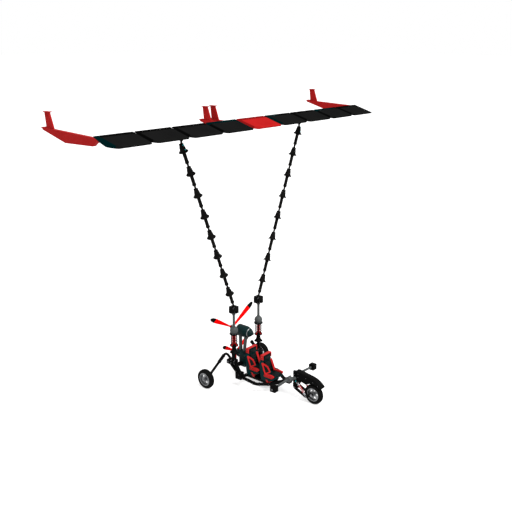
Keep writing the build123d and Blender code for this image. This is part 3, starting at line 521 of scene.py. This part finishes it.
# pads: each copied from its solid, drawn in a little, swollen by cloth pressure, then quilted
padShape = {  # across and up are axes by number; channels are shares of the width across
    "seat_pads": {"shrink": 0.955, "cap": 0.012, "across": 1, "up": 2, "channels": (0.24, 0.76)},
    "seat_back_pads": {"shrink": 0.955, "cap": 0.012, "across": 2, "up": 0, "channels": (0.3, 0.55, 0.8)},
    "seat_head_pads": {"shrink": 0.95, "cap": 0.010, "across": 1, "up": 0, "channels": (0.2, 0.8)},
}
swelling = {"voxel": 0.0055, "pressure": 4.0, "quality": 5, "frames": 20}
quilting = {"depth": 0.006, "width": 0.007, "open": 0.25}


def islandsOf(bm):  # always in the same order, so that each run adds up alike
    left = dict.fromkeys(bm.verts)
    while left:
        group = [left.popitem()[0]]
        for vert in group:
            for edge in vert.link_edges:
                far = edge.other_vert(vert)
                if far in left:
                    del left[far]
                    group.append(far)
        yield group


def bakeModifiers(obj):  # the evaluated mesh becomes the piece's own
    graph = bpy.context.evaluated_depsgraph_get()
    fresh = bpy.data.meshes.new_from_object(obj.evaluated_get(graph))
    obj.modifiers.clear()
    old = obj.data
    obj.data = fresh
    bpy.data.meshes.remove(old)


def swell(obj, cap):  # cloth pressure, with no point moved further than the cap
    start = [vert.co.copy() for vert in obj.data.vertices]
    cloth = obj.modifiers.new("swell", "CLOTH")
    cloth.settings.quality = swelling["quality"]
    cloth.settings.use_pressure = True
    cloth.settings.uniform_pressure_force = swelling["pressure"]
    cloth.settings.effector_weights.gravity = 0.0
    cloth.collision_settings.use_collision = False
    cloth.point_cache.frame_start = 1
    cloth.point_cache.frame_end = swelling["frames"]
    for step in range(1, swelling["frames"] + 1):
        bpy.context.scene.frame_set(step)
    bakeModifiers(obj)
    bpy.context.scene.frame_set(1)
    for vert, rest in zip(obj.data.vertices, start):
        shift = vert.co - rest
        if shift.length > cap:
            vert.co = rest + shift * (cap / shift.length)


def quilt(obj, plan):  # sewn channels across the cushion's open face
    bm = bmesh.new()
    bm.from_mesh(obj.data)
    bm.normal_update()
    across = plan["across"]
    for group in islandsOf(bm):
        low = min(vert.co[across] for vert in group)
        high = max(vert.co[across] for vert in group)
        for vert in group:
            if vert.normal[plan["up"]] > quilting["open"]:
                share = (vert.co[across] - low) / (high - low)
                off = min(abs(share - line) for line in plan["channels"]) * (high - low)
                vert.co -= vert.normal * (quilting["depth"] * 2.0 ** (-(off / quilting["width"]) ** 2))
    bm.to_mesh(obj.data)
    bm.free()


def padFrom(node, plan):
    bm = bmesh.new()
    bm.from_mesh(nodes[node].data)
    bmesh.ops.remove_doubles(bm, verts=bm.verts, dist=1e-5)
    for group in islandsOf(bm):
        centre = sum((vert.co for vert in group), Vector()) / len(group)
        move = Matrix.Translation(centre) @ Matrix.Scale(plan["shrink"], 4) @ Matrix.Translation(-centre)
        bmesh.ops.transform(bm, matrix=move, verts=group)
    obj = settle(bm, node + "Padded", "chassis", [finishes["seat_pad"]], 180)
    bpy.context.view_layer.objects.active = obj
    remesh = obj.modifiers.new("remesh", "REMESH")
    remesh.mode = "VOXEL"
    remesh.voxel_size = swelling["voxel"]
    bakeModifiers(obj)
    swell(obj, plan["cap"])
    quilt(obj, plan)
    smooth = obj.modifiers.new("soften", "SUBSURF")
    smooth.levels = 1
    smooth.render_levels = 1
    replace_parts(obj, node)


for node, plan in padShape.items():
    padFrom(node, plan)
print("pads sewn")

# risers: rolled lips on the bells, collars on the rods, pins through the ball joints, the topmost ones cyan as a
# painted glint
riser = {
    "head": (2.150, 6.430), "links": 8, "skirt": 0.177, "pin": 0.011,
    "footCollar": (0.042, 0.060, 0.008), "footRise": 0.003,  # collars: inner, outer, length
    "rodCollar": (0.041, 0.049, 0.030), "rodRise": 0.135, "lipCollar": (0.041, 0.052, 0.018), "lipDrop": 0.012,
    "lipBead": (0.1075, 0.0045), "lipRise": 0.006, "neckBead": (0.0515, 0.004), "neckRise": 0.014,
    "ballPin": (0.050, 0.013), "bellPin": (0.066, 0.016), "bellPinRise": 0.062,  # out from the rod, length
}
socket = {"z": 6.640, "bead": (0.1165, 0.006), "bolts": 6, "boltCircle": 0.086, "boltRise": 0.013,
          "boltSize": 0.009, "pinOut": 0.117, "pin": (0.012, 0.014)}
glintTint, boltTint = 1, 2
bm = bmesh.new()
for side in sides:
    foot = spot(mast["x"], mast["y"], mast["hang"] + mast["block"], side)
    head = spot(mast["x"], *riser["head"], side)
    aim = (head - foot).normalized()
    addCollar(bm, foot + zWay * riser["footRise"], zWay, *riser["footCollar"])
    for index in range(riser["links"]):
        start = foot.lerp(head, index / riser["links"])
        joint = foot.lerp(head, (index + 1) / riser["links"])
        lip = joint - aim * riser["skirt"]
        addRing(bm, lip + aim * riser["lipRise"], aim, *riser["lipBead"], steps=36)
        addRing(bm, joint + aim * riser["neckRise"], aim, *riser["neckBead"], steps=24)
        addCollar(bm, start + aim * riser["rodRise"], aim, *riser["rodCollar"])
        addCollar(bm, lip - aim * riser["lipDrop"], aim, *riser["lipCollar"])
        # the last bell's pins are cyan, a painted glint
        tint = glintTint if index == riser["links"] - 1 else 0
        bell = lip + aim * riser["bellPinRise"]
        for face in (xWay, -xWay):
            for at, (out, length) in ((joint, riser["ballPin"]), (bell, riser["bellPin"])):
                addPin(bm, at + face * out, face, riser["pin"], length, tint)
    top = spot(mast["x"], riser["head"][0], socket["z"], side)
    addRing(bm, top, zWay, *socket["bead"])
    for out in circle(socket["boltCircle"], socket["bolts"], "Z", 0.5):
        addBolt(bm, top + out + zWay * socket["boltRise"], zWay, socket["boltSize"], boltTint)
    # the socket pins are cyan, a painted glint
    for face in (xWay, -xWay, yWay, -yWay):
        addPin(bm, top + face * socket["pinOut"], face, *socket["pin"], glintTint)
settle(bm, "riserFittings", "chassis", [finishes["riser_black"], paintedGlint, zinc])
print("risers dressed")

# masts: flange bolts, cage hoops round a damper core, clamp rings, hang block bolts and slot liners
greyTint, blackTint = 1, 2
mastFit = {
    "lowBolts": (0.085, 4, 0.0), "lowFlange": 1.094, "lowBolt": 0.010,  # circle, count, first
    "topBolts": (0.1025, 8, 0.5), "topFlange": cageHigh.z, "topBolt": 0.0075,
    "collars": ((1.2675, 0.012, 0.0310, 0.270, blackTint), (1.624, 0.0325, 0.043, 0.020, greyTint),
                (1.970, 0.0325, 0.047, 0.038, greyTint), (1.052, 0.0415, 0.052, 0.022, blackTint),
                (0.724, 0.0415, 0.060, 0.036, blackTint)),  # height, inner, outer, length, tint
    "hoops": (1.205, 1.2675, 1.330), "hoop": (0.0848, 0.0055), "steps": 44,
    "swivel": 1.516, "swivelBead": (0.1045, 0.004), "bell": 0.912, "bellBead": (0.1075, 0.005),
    "blockBolt": 0.066, "blockSize": 0.009, "lidBolt": 0.070, "lidSize": 0.008,
    "baseMiddle": 0.6475, "baseBolt": (0.055, 0.070, 0.036), "baseSize": 0.011,
    "baseTop": reach("mast_posts")[0].z, "topScrew": (0.058, 0.052), "topSize": 0.010,
    "legBolt": (0.262, 0.055, 0.612), "legSize": 0.020,
    "liner": (0.005, 0.072, 0.076), "linerAt": (0.0415, -0.030, 0.041), "linerEase": 0.002,
}
bm = bmesh.new()
for side in sides:
    foot = spot(mast["x"], mast["y"], 0, side)
    radius, count, first = mastFit["lowBolts"]
    for out in circle(radius, count, "Z", first):
        addBolt(bm, foot + out + zWay * mastFit["lowFlange"], -zWay, mastFit["lowBolt"])
    radius, count, first = mastFit["topBolts"]
    for out in circle(radius, count, "Z", first):
        addBolt(bm, foot + out + zWay * mastFit["topFlange"], zWay, mastFit["topBolt"])
    for height, inner, outer, length, tint in mastFit["collars"]:
        addCollar(bm, foot + zWay * height, zWay, inner, outer, length, tint)
    for height in mastFit["hoops"]:
        addRing(bm, foot + zWay * height, zWay, *mastFit["hoop"], blackTint, mastFit["steps"])
    addRing(bm, foot + zWay * mastFit["swivel"], zWay, *mastFit["swivelBead"], greyTint, mastFit["steps"])
    addRing(bm, foot + zWay * mastFit["bell"], zWay, *mastFit["bellBead"], blackTint)
    for across in sides:
        face = foot + Vector((0, across * mast["block"] / 2, mast["hang"] + mast["block"] / 2))
        lid = foot + Vector((0, across * mastFit["lidBolt"], mast["hang"] + mast["block"]))
        for right in sides:
            for rise in sides:
                addBolt(bm, face + Vector((right, 0, rise)) * mastFit["blockBolt"], yWay * across,
                        mastFit["blockSize"])
                x, y, z = mastFit["baseBolt"]
                addBolt(bm, foot + Vector((right * x, across * y, mastFit["baseMiddle"] + rise * z)),
                        yWay * across, mastFit["baseSize"])
            x, y = mastFit["topScrew"]
            addBolt(bm, foot + Vector((right * x, across * y, mastFit["baseTop"])), zWay, mastFit["topSize"])
            addBolt(bm, lid + xWay * (right * mastFit["lidBolt"]), zWay, mastFit["lidSize"])
        x, y, z = mastFit["legBolt"]
        addBolt(bm, spot(x, side * mast["y"] + across * y, z), yWay * across, mastFit["legSize"])
    addBlock(bm, foot + zWay * mast["hang"] + Vector(mastFit["linerAt"]), mastFit["liner"],
             mastFit["linerEase"], greyTint)
settle(bm, "mastFittings", "chassis", [zinc, finishes["grey_metal"], finishes["black_frame"]])
print("masts dressed")

# frame: box lids and latches, rail collars, leg clamps, floor pan screws, nose block bolts
boxes = {
    "x": aheadOf("side_boxes"), "top": reach("side_boxes")[1].z, "lidRise": 0.003, "lid": (0.170, 0.120, 0.010),
    "lidBolt": (0.072, 0.047, 0.005), "lidSize": 0.006,
    "latch": (0.034, 0.010, 0.046), "latchAt": (0.052, 0.5655, 0.372), "latchBolt": (0.005, -0.012),
    "latchSize": 0.005, "sideBolt": (0.070, 0.563, 0.250), "sideSize": 0.009,
}
rails = {
    "path": ((0.608, 0.488, 0.287), (1.158, 0.488, 0.237), (1.465, 0.240, 0.237), (1.800, 0.030, 0.370)),
    "collars": ((0, 0.235), (0, 0.55), (0, 0.86), (1, 0.22), (1, 0.80), (2, 0.15), (2, 0.74)),  # run, share of it
    "collar": (0.0395, 0.047, 0.036), "boltOut": 0.046, "boltSize": 0.008,
}
legs = {
    "knee": (0.150, 0.500, 0.830), "foot": (0.0, 1.017, 0.277),
    "sleeveEnds": (0.12, 0.40), "sleeve": (0.0335, 0.051, 0.022), "ankleAt": 0.86, "ankle": (0.0335, 0.042, 0.028),
    "clampBolts": (0.20, 0.32), "boltOut": 0.0455, "boltSize": 0.009,
    "shoeBolt": (0.052, 0.034), "axleEnd": reach("rear_axles")[1].y, "axleNut": 0.021,
}
pan = {"first": 0.66, "pitch": 0.08, "screws": 9, "y": 0.200, "z": 0.183, "size": 0.006}
noseBlock = {
    "bolts": ((1.765, 0.402), (1.765, 0.338), (1.884, 0.404)), "y": 0.060, "boltSize": 0.008,
    "bore": (1.870, 0.0605, 0.347), "boreBead": (0.0165, 0.003),
    "tubeX": aheadOf("steering_pin"), "tubeEnds": (0.350, 0.620), "tubeCollar": (0.0375, 0.0435, 0.022),
}
blackTint = 1
bm = bmesh.new()
for side in sides:
    out = yWay * side
    lid = spot(boxes["x"], mast["y"], boxes["top"] + boxes["lidRise"], side)
    addBlock(bm, lid, boxes["lid"], tint=blackTint)
    for right in sides:
        x, y, z = boxes["lidBolt"]
        for across in sides:
            addBolt(bm, lid + Vector((right * x, across * y, z)), zWay, boxes["lidSize"])
        x, y, z = boxes["latchAt"]
        latch = spot(boxes["x"] + right * x, y, z, side)
        addBlock(bm, latch, boxes["latch"], tint=blackTint)
        y, z = boxes["latchBolt"]
        addBolt(bm, latch + out * y + zWay * z, out, boxes["latchSize"])
        x, y, z = boxes["sideBolt"]
        addBolt(bm, spot(boxes["x"] + right * x, y, z, side), out, boxes["sideSize"])
    for run, share in rails["collars"]:
        low, high = (spot(*place, side) for place in rails["path"][run:run + 2])
        at = low.lerp(high, share)
        aim = (high - low).normalized()
        addCollar(bm, at, aim, *rails["collar"], blackTint)
        away = aim.cross(zWay * -side).normalized()
        addBolt(bm, at + away * rails["boltOut"], away, rails["boltSize"])
    knee, foot = spot(*legs["knee"], side), spot(*legs["foot"], side)
    aim = (foot - knee).normalized()
    flat = aim.cross(zWay).normalized()
    for share in legs["sleeveEnds"]:
        addCollar(bm, knee.lerp(foot, share), aim, *legs["sleeve"], blackTint)
    for share in legs["clampBolts"]:
        for face in (flat, -flat):
            addBolt(bm, knee.lerp(foot, share) + face * legs["boltOut"], face, legs["boltSize"])
    addCollar(bm, knee.lerp(foot, legs["ankleAt"]), aim, *legs["ankle"], blackTint)
    x, z = legs["shoeBolt"]
    for face in sides:
        for rise in sides:
            at = spot(face * x, legs["foot"][1], axle.z + rise * z, side)
            addBolt(bm, at, xWay * face, legs["boltSize"])
    addBolt(bm, spot(0, legs["axleEnd"], axle.z, side), out, legs["axleNut"])
    for step in range(pan["screws"]):
        addBolt(bm, spot(pan["first"] + pan["pitch"] * step, pan["y"], pan["z"], side), out, pan["size"])
    for x, z in noseBlock["bolts"]:
        addBolt(bm, spot(x, noseBlock["y"], z, side), out, noseBlock["boltSize"])
    addRing(bm, spot(*noseBlock["bore"], side), yWay, *noseBlock["boreBead"])
for z in noseBlock["tubeEnds"]:
    addCollar(bm, spot(noseBlock["tubeX"], 0, z), zWay, *noseBlock["tubeCollar"], blackTint)
settle(bm, "frameFittings", "chassis", [zinc, finishes["black_frame"]])
print("frame dressed")

# motors: seams, louvres, a grey band and a black collar on the pod, rings and cowl slats on the lower one
pod = {
    "z": middle("upper_motor_pod").z, "radius": 0.152, "steps": 48, "seam": 0.0035,
    "seams": ((0.300, 0.152), (0.410, 0.152), (0.580, 0.0865)),  # x, radius
    "bandX": 0.530, "band": (0.100, 0.1196, 0.020), "collarX": 0.190, "collar": (0.146, 0.1560, 0.034),
    "louvres": (-40, -20, 0, 20, 40), "louvreX": 0.355, "louvre": (0.074, 0.008, 0.014),
    "screwX": 0.235, "screw": 0.006, "plateX": 0.130, "plateCircle": 0.074, "plateBolts": 6, "plateBolt": 0.007,
}
coolers = {"z": middle("lower_prop_hub").z, "from": 0.180, "to": 0.436, "count": 12,
           "ring": (0.108, 0.117, 0.007), "steps": 44}
cowl = {"x": aheadOf("motor_cowl"), "y": reach("motor_cowl")[1].y, "low": 0.470, "rise": 0.036, "count": 6,
        "slat": (0.130, 0.010, 0.014), "tilt": 24, "boltX": (0.346, 0.514), "boltZ": (0.420, 0.722),
        "boltSize": 0.007}
silverTint, boltTint, blackTint = 1, 2, 3
bm = bmesh.new()
for x, radius in pod["seams"]:
    addRing(bm, spot(x, 0, pod["z"]), xWay, radius, pod["seam"], steps=pod["steps"])
addCollar(bm, spot(pod["bandX"], 0, pod["z"]), xWay, *pod["band"], silverTint, pod["steps"])
addCollar(bm, spot(pod["collarX"], 0, pod["z"]), xWay, *pod["collar"], blackTint, pod["steps"])
for side in sides:
    for angle in pod["louvres"]:
        turn = radians(angle)
        out = Vector((0, side * cos(turn), sin(turn)))
        lean = Matrix.Rotation(side * turn, 4, "X")
        addBlock(bm, spot(pod["louvreX"], 0, pod["z"]) + out * pod["radius"], pod["louvre"], turn=lean)
        addBolt(bm, spot(pod["screwX"], 0, pod["z"]) + out * pod["radius"], out, pod["screw"], boltTint)
    lean = Matrix.Rotation(side * radians(cowl["tilt"]), 4, "X")
    for index in range(cowl["count"]):
        slat = spot(cowl["x"], cowl["y"], cowl["low"] + index * cowl["rise"], side)
        addBlock(bm, slat, cowl["slat"], turn=lean)
    for x in cowl["boltX"]:
        for z in cowl["boltZ"]:
            addBolt(bm, spot(x, cowl["y"], z, side), yWay * side, cowl["boltSize"], boltTint)
for index in range(coolers["count"]):
    x = coolers["from"] + (coolers["to"] - coolers["from"]) * index / (coolers["count"] - 1)
    addCollar(bm, spot(x, 0, coolers["z"]), xWay, *coolers["ring"], steps=coolers["steps"])
for out in circle(pod["plateCircle"], pod["plateBolts"], "X"):
    addBolt(bm, spot(pod["plateX"], 0, pod["z"]) + out, -xWay, pod["plateBolt"], boltTint)
podMaterials = [finishes["motor_teal"], finishes["rim_silver"], zinc, deepBlack]
settle(bm, "motorFittings", "chassis", podMaterials)

# propellers: hub bolts, root collars and rim beads
props = {"upper": (-0.070, pod["z"]), "lower": (0.058, coolers["z"])}
propHub = {"half": 0.035, "bolts": 6, "circle": 0.044, "size": 0.007, "blades": (60, 180, 300), "root": 0.074,
           "collar": (0.018, 0.031, 0.030), "beadOut": 0.030, "bead": (0.0615, 0.003)}
collarTint = 1
for name, (x, z) in props.items():
    hub = spot(x, 0, z)
    bm = bmesh.new()
    for out in circle(propHub["circle"], propHub["bolts"], "X"):
        addBolt(bm, hub + xWay * propHub["half"] + out, xWay, propHub["size"])
    for angle in propHub["blades"]:
        out = Vector((0, -sin(radians(angle)), cos(radians(angle))))
        addCollar(bm, hub + out * propHub["root"], out, *propHub["collar"], collarTint)
    for face in (xWay, -xWay):
        addRing(bm, hub + face * propHub["beadOut"], xWay, *propHub["bead"])
    settle(bm, name + "HubFittings", name + "_propeller", [zinc, finishes["blade_tip"]])
print("motors dressed")

# nose gear: pivot, shock and axle bolts, fork head pins with one cyan as a painted glint, fender screws, ribbed
# foot pegs
glintTint, blackTint = 1, 2
nose = {
    "pinNut": 0.020, "pivot": (2.096, 0.102, 0.300), "pivotSize": 0.020,
    "axle": (aheadOf("tyre_front"), 0.117, middle("tyre_front").z), "axleSize": 0.017,
    # the cyan pin among these is a painted glint
    "headPins": ((0.700, blackTint), (0.640, blackTint), (0.470, glintTint), (0.400, blackTint)),  # height
    "headPinAt": (2.110, 0.071), "headPin": (0.013, 0.012),
    "fender": ((2.180, 0.690), (2.180, 0.600), (2.420, 0.640), (2.640, 0.600), (2.780, 0.540)), "fenderY": 0.082,
    "fenderSize": 0.007, "diamond": (2.010, 0.215, 0.556), "diamondOut": 0.060, "diamondShift": 0.034,
    "diamondSize": 0.008,
}
pegLow, pegHigh = reach("foot_pegs")
footPeg = {"out": (pegHigh.z - pegLow.z) / 2, "ribs": 5, "pitch": 0.027, "rib": (0.012, 0.128, 0.010),
           "nut": 0.018}
footPeg["at"] = (aheadOf("foot_pegs"), pegHigh.y - footPeg["out"], middle("foot_pegs").z)
bm = bmesh.new()
for end, aim in zip(reach("steering_pin"), (-zWay, zWay)):
    addBolt(bm, spot(noseBlock["tubeX"], 0, end.z), aim, nose["pinNut"])
for side in sides:
    out = yWay * side
    addBolt(bm, spot(*nose["pivot"], side), out, nose["pivotSize"])
    for x, z in (shock["top"], shock["foot"]):
        addBolt(bm, spot(x, shock["boltY"], z, side), out, shock["boltSize"])
    addBolt(bm, spot(*nose["axle"], side), out, nose["axleSize"])
    for z, tint in nose["headPins"]:
        addPeg(bm, spot(*nose["headPinAt"], z, side), out, *nose["headPin"], tint, 16, 0.8)
    for x, z in nose["fender"]:
        addBolt(bm, spot(x, nose["fenderY"], z, side), out, nose["fenderSize"])
    for right in sides:
        for rise in sides:
            away = Vector((right, 0, rise)).normalized()
            for across in sides:
                at = spot(*nose["diamond"], side) + yWay * (across * nose["diamondShift"])
                addBolt(bm, at + away * nose["diamondOut"], away, nose["diamondSize"])
    peg = spot(*footPeg["at"], side)
    thick, wide, tall = footPeg["rib"]
    for step in range(footPeg["ribs"]):
        slide = footPeg["pitch"] * (step - footPeg["ribs"] // 2)
        addBlock(bm, peg + xWay * slide + zWay * footPeg["out"], (thick, wide, tall), tint=blackTint)
        for face in (xWay, -xWay):
            addBlock(bm, peg + face * footPeg["out"] + zWay * slide, (tall, wide, thick), tint=blackTint)
    addBolt(bm, peg + out * footPeg["out"], out, footPeg["nut"])
settle(bm, "noseFittings", "steering", [zinc, paintedGlint, deepBlack])
print("nose gear dressed")

# seats: screws on the red bars, bands and back rims
seats = {
    "hips": ((1.244, 0.395), (0.754, 0.445)),
    "screws": ((0.042, 0.2162, -0.124, 0.006), (0.084, 0.2162, -0.186, 0.006), (0.020, 0.215, 0.004, 0.007),
               (0.206, 0.215, 0.010, 0.007), (-0.156, 0.176, 0.395, 0.006), (-0.156, 0.176, 0.455, 0.006)),
}  # screws: forward, out and up from the hip, size
bm = bmesh.new()
for x, z in seats["hips"]:
    for side in sides:
        for ahead, y, rise, size in seats["screws"]:
            addBolt(bm, spot(x + ahead, y, z + rise, side), yWay * side, size)
settle(bm, "seatScrews", "chassis", [zinc])

# wing: flap hinges and screw rows on each panel, spar clamps
panelTrim = {
    "hingeFrom": 0.110, "hinge": (0.0045, 0.780), "screws": 8, "firstScrew": 0.150, "screwPitch": 0.100,
    "creaseRows": ((-0.030, 0.0003), (0.030, -0.0028)), "creaseScrew": (0.006, 0.0028),  # along and up from it
    "frontScrew": (0.006, 0.0030), "frontFirst": 2,
}
redTint, boltTint = 1, 2
spar = {"z": middle("wing_spar").z, "clamp": (0.0315, 0.046, 0.020), "clampShift": 0.042, "boltDrop": 0.055,
        "boltSize": 0.010}


def onPanel(along, rise, y):  # a place given along the chord and up from it
    x, z = wing["nose"]
    ahead = rise * sin(wingLean) - along * cos(wingLean)
    return spot(x + ahead, y, z + along * sin(wingLean) + rise * cos(wingLean))


upWing = Vector((sin(wingLean), 0, cos(wingLean)))
bm = bmesh.new()
for index in range(wing["panels"]):
    start = (index - wing["panels"] / 2) * wing["pitch"]
    tint = redTint if index == wing["panels"] // 2 else 0
    hinge = onPanel(*wing["crease"], start + panelTrim["hingeFrom"])
    addPeg(bm, hinge, yWay, *panelTrim["hinge"], tint, 10)
    for step in range(panelTrim["screws"]):
        y = start + panelTrim["firstScrew"] + panelTrim["screwPitch"] * step
        for along, rise in panelTrim["creaseRows"]:
            at = onPanel(wing["crease"][0] + along, wing["crease"][1] + rise, y)
            addScrew(bm, at, upWing, *panelTrim["creaseScrew"], tint)
        if step >= panelTrim["frontFirst"]:
            addScrew(bm, onPanel(*wing["front"], y), upWing, *panelTrim["frontScrew"], tint)
    if index:
        clamp = spot(mast["x"], start, spar["z"])
        for across in (-yWay, yWay):
            addCollar(bm, clamp + across * spar["clampShift"], yWay, *spar["clamp"])
        addBolt(bm, clamp - zWay * spar["boltDrop"], -zWay, spar["boltSize"], boltTint)
settle(bm, "wingFittings", "chassis", [finishes["riser_black"], finishes["red_panel"], zinc])

# tail: rivets along the booms, rudder hinges and fin bolts
tail = {
    "booms": ((4.573, 0.0, 0.0, 0.0), (0.138, 0.150, 0.180, 0.12)),  # y, tail forward, drop, front set back
    "front": (0.50, 6.840), "back": (-1.04, 6.913),
    "rivets": 13, "rivetAt": (0.045, -0.018), "rivet": (0.006, 0.003),
    "hingeFoot": (-0.862, 6.900), "hingeTop": (-0.934, 7.216), "hingeOut": 0.019, "hinge": 0.0045,
    "straps": (0.2, 0.8), "strap": (0.050, 0.010, 0.022),
    "boltX": (-1.069, -1.013), "boltOut": 0.050, "boltZ": 6.923, "boltSize": 0.006,
}
boltTint = 1
bm = bmesh.new()
for y, forward, drop, setBack in tail["booms"]:
    for side in sides:
        front = spot(tail["front"][0] - setBack, y, tail["front"][1] - drop, side)
        back = spot(tail["back"][0] + forward, y, tail["back"][1] - drop, side)
        for across in (yWay, -yWay):
            wide, rise = tail["rivetAt"]
            for index in range(tail["rivets"]):
                at = front.lerp(back, index / (tail["rivets"] - 1))
                addScrew(bm, at + across * wide + zWay * rise, across, *tail["rivet"])
            low, high = (spot(x + forward, y, z - drop, side) + across * tail["hingeOut"]
                         for x, z in (tail["hingeFoot"], tail["hingeTop"]))
            addPeg(bm, low, high - low, tail["hinge"], (high - low).length, corners=10)
            for share in tail["straps"]:
                addBlock(bm, low.lerp(high, share), tail["strap"])
            for x in tail["boltX"]:
                at = spot(x + forward, y, tail["boltZ"] - drop, side) + across * tail["boltOut"]
                addBolt(bm, at, zWay, tail["boltSize"], boltTint)
settle(bm, "tailFittings", "chassis", [finishes["red_panel"], zinc])
print("wing dressed")

# edges of the boxy solids are eased; live modifiers, so the solids keep their own vertices
easing = {
    "side_boxes": 0.006, "hang_blocks": 0.006, "foot_pegs": 0.008, "fender": 0.012, "fork_head": 0.006,
    "seat_shells": 0.014, "seat_bolster_rims": 0.010, "seat_thigh_bars": 0.014, "seat_red_trim": 0.005,
    "tail_booms_outer": 0.006, "tail_booms_inner": 0.006, "tail_fins": 0.005, "wing_ribs": 0.004,
    "foot_bar_arms": 0.005, "frame_diagonals": 0.005, "rear_frame": 0.006, "keel_frame": 0.006,
    "nose_frame": 0.004, "motor_pylon": 0.006, "motor_cowl": 0.010, "wing_panel_centre": 0.003,
    "wing_panels_left": 0.003, "wing_panels_right": 0.003,
}
easeRule = {"weld": 0.00002, "flat": 1.0, "sharp": 28, "segments": 3}  # angles in degrees
for node, width in easing.items():
    obj = nodes[node]
    weld = obj.modifiers.new("weld", "WELD")
    weld.merge_threshold = easeRule["weld"]
    flat = obj.modifiers.new("flats", "DECIMATE")
    flat.decimate_type = "DISSOLVE"
    flat.angle_limit = radians(easeRule["flat"])
    ease = obj.modifiers.new("ease", "BEVEL")
    ease.width = width
    ease.segments = easeRule["segments"]
    ease.limit_method = "ANGLE"
    ease.angle_limit = radians(easeRule["sharp"])
    ease.use_clamp_overlap = True
    ease.harden_normals = True
print("edges eased:", len(easing))

# stage: pale floor, soft light from all sides, camera at the photograph's viewing angle
studio = {
    "floor": 400.0, "floorDrop": 0.001, "floorGrey": 0.5, "glow": 0.55, "sky": 1.0,
    "sun": 3.0, "sunFrom": (0.55, -0.05, 0.83), "sunWidth": 28,
    "lens": 50.0, "sensor": 36.0, "eye": (11.701, -13.040, 8.6), "look": (-0.6157, 0.7333, -0.2894),
}
lamps = {  # place, aim, size, power
    "keyLamp": ((9, -6, 14), (0, 0, 3), 7.0, 500.0),
    "fillLamp": ((10, 7, 9), (0, 0, 2.5), 8.0, 300.0),
}
bm = bmesh.new()
bmesh.ops.create_grid(bm, x_segments=1, y_segments=1, size=studio["floor"])
bmesh.ops.translate(bm, verts=bm.verts, vec=zWay * -studio["floorDrop"])
mesh = bpy.data.meshes.new("floor")
bm.to_mesh(mesh)
bm.free()
floor = bpy.data.objects.new("floor", mesh)
sceneObjects.link(floor)
pale = Finish("floorPale", Base_Color=grey(studio["floorGrey"]), Specular_IOR_Level=0.0,
              Emission_Color=grey(1), Emission_Strength=studio["glow"])
pale.feed(Roughness=pale.sheen(3.0, 0.85, 0.95, 0.7))
floor.data.materials.append(pale.material)

world = bpy.data.worlds.new("studioSky")
bpy.context.scene.world = world
world.use_nodes = True
world.node_tree.nodes["Background"].inputs["Color"].default_value = grey(1)
world.node_tree.nodes["Background"].inputs["Strength"].default_value = studio["sky"]

sunData = bpy.data.lights.new("softSun", "SUN")
sunData.energy = studio["sun"]
sunData.angle = radians(studio["sunWidth"])
sun = bpy.data.objects.new("softSun", sunData)
sun.rotation_euler = Vector(studio["sunFrom"]).to_track_quat("Z", "Y").to_euler()
sceneObjects.link(sun)
for name, (where, aim, size, power) in lamps.items():
    data = bpy.data.lights.new(name, "AREA")
    data.size = size
    data.energy = power
    obj = bpy.data.objects.new(name, data)
    obj.location = where
    obj.rotation_euler = (Vector(aim) - Vector(where)).to_track_quat("-Z", "Y").to_euler()
    sceneObjects.link(obj)

camData = bpy.data.cameras.new("photoCamera")
camData.lens = studio["lens"]
camData.sensor_width = studio["sensor"]
camera = bpy.data.objects.new("photoCamera", camData)
camera.location = spot(*studio["eye"])
camera.rotation_euler = Vector(studio["look"]).to_track_quat("-Z", "Y").to_euler()
sceneObjects.link(camera)
bpy.context.scene.camera = camera
bpy.context.scene.view_settings.view_transform = "Standard"
print("stage set")
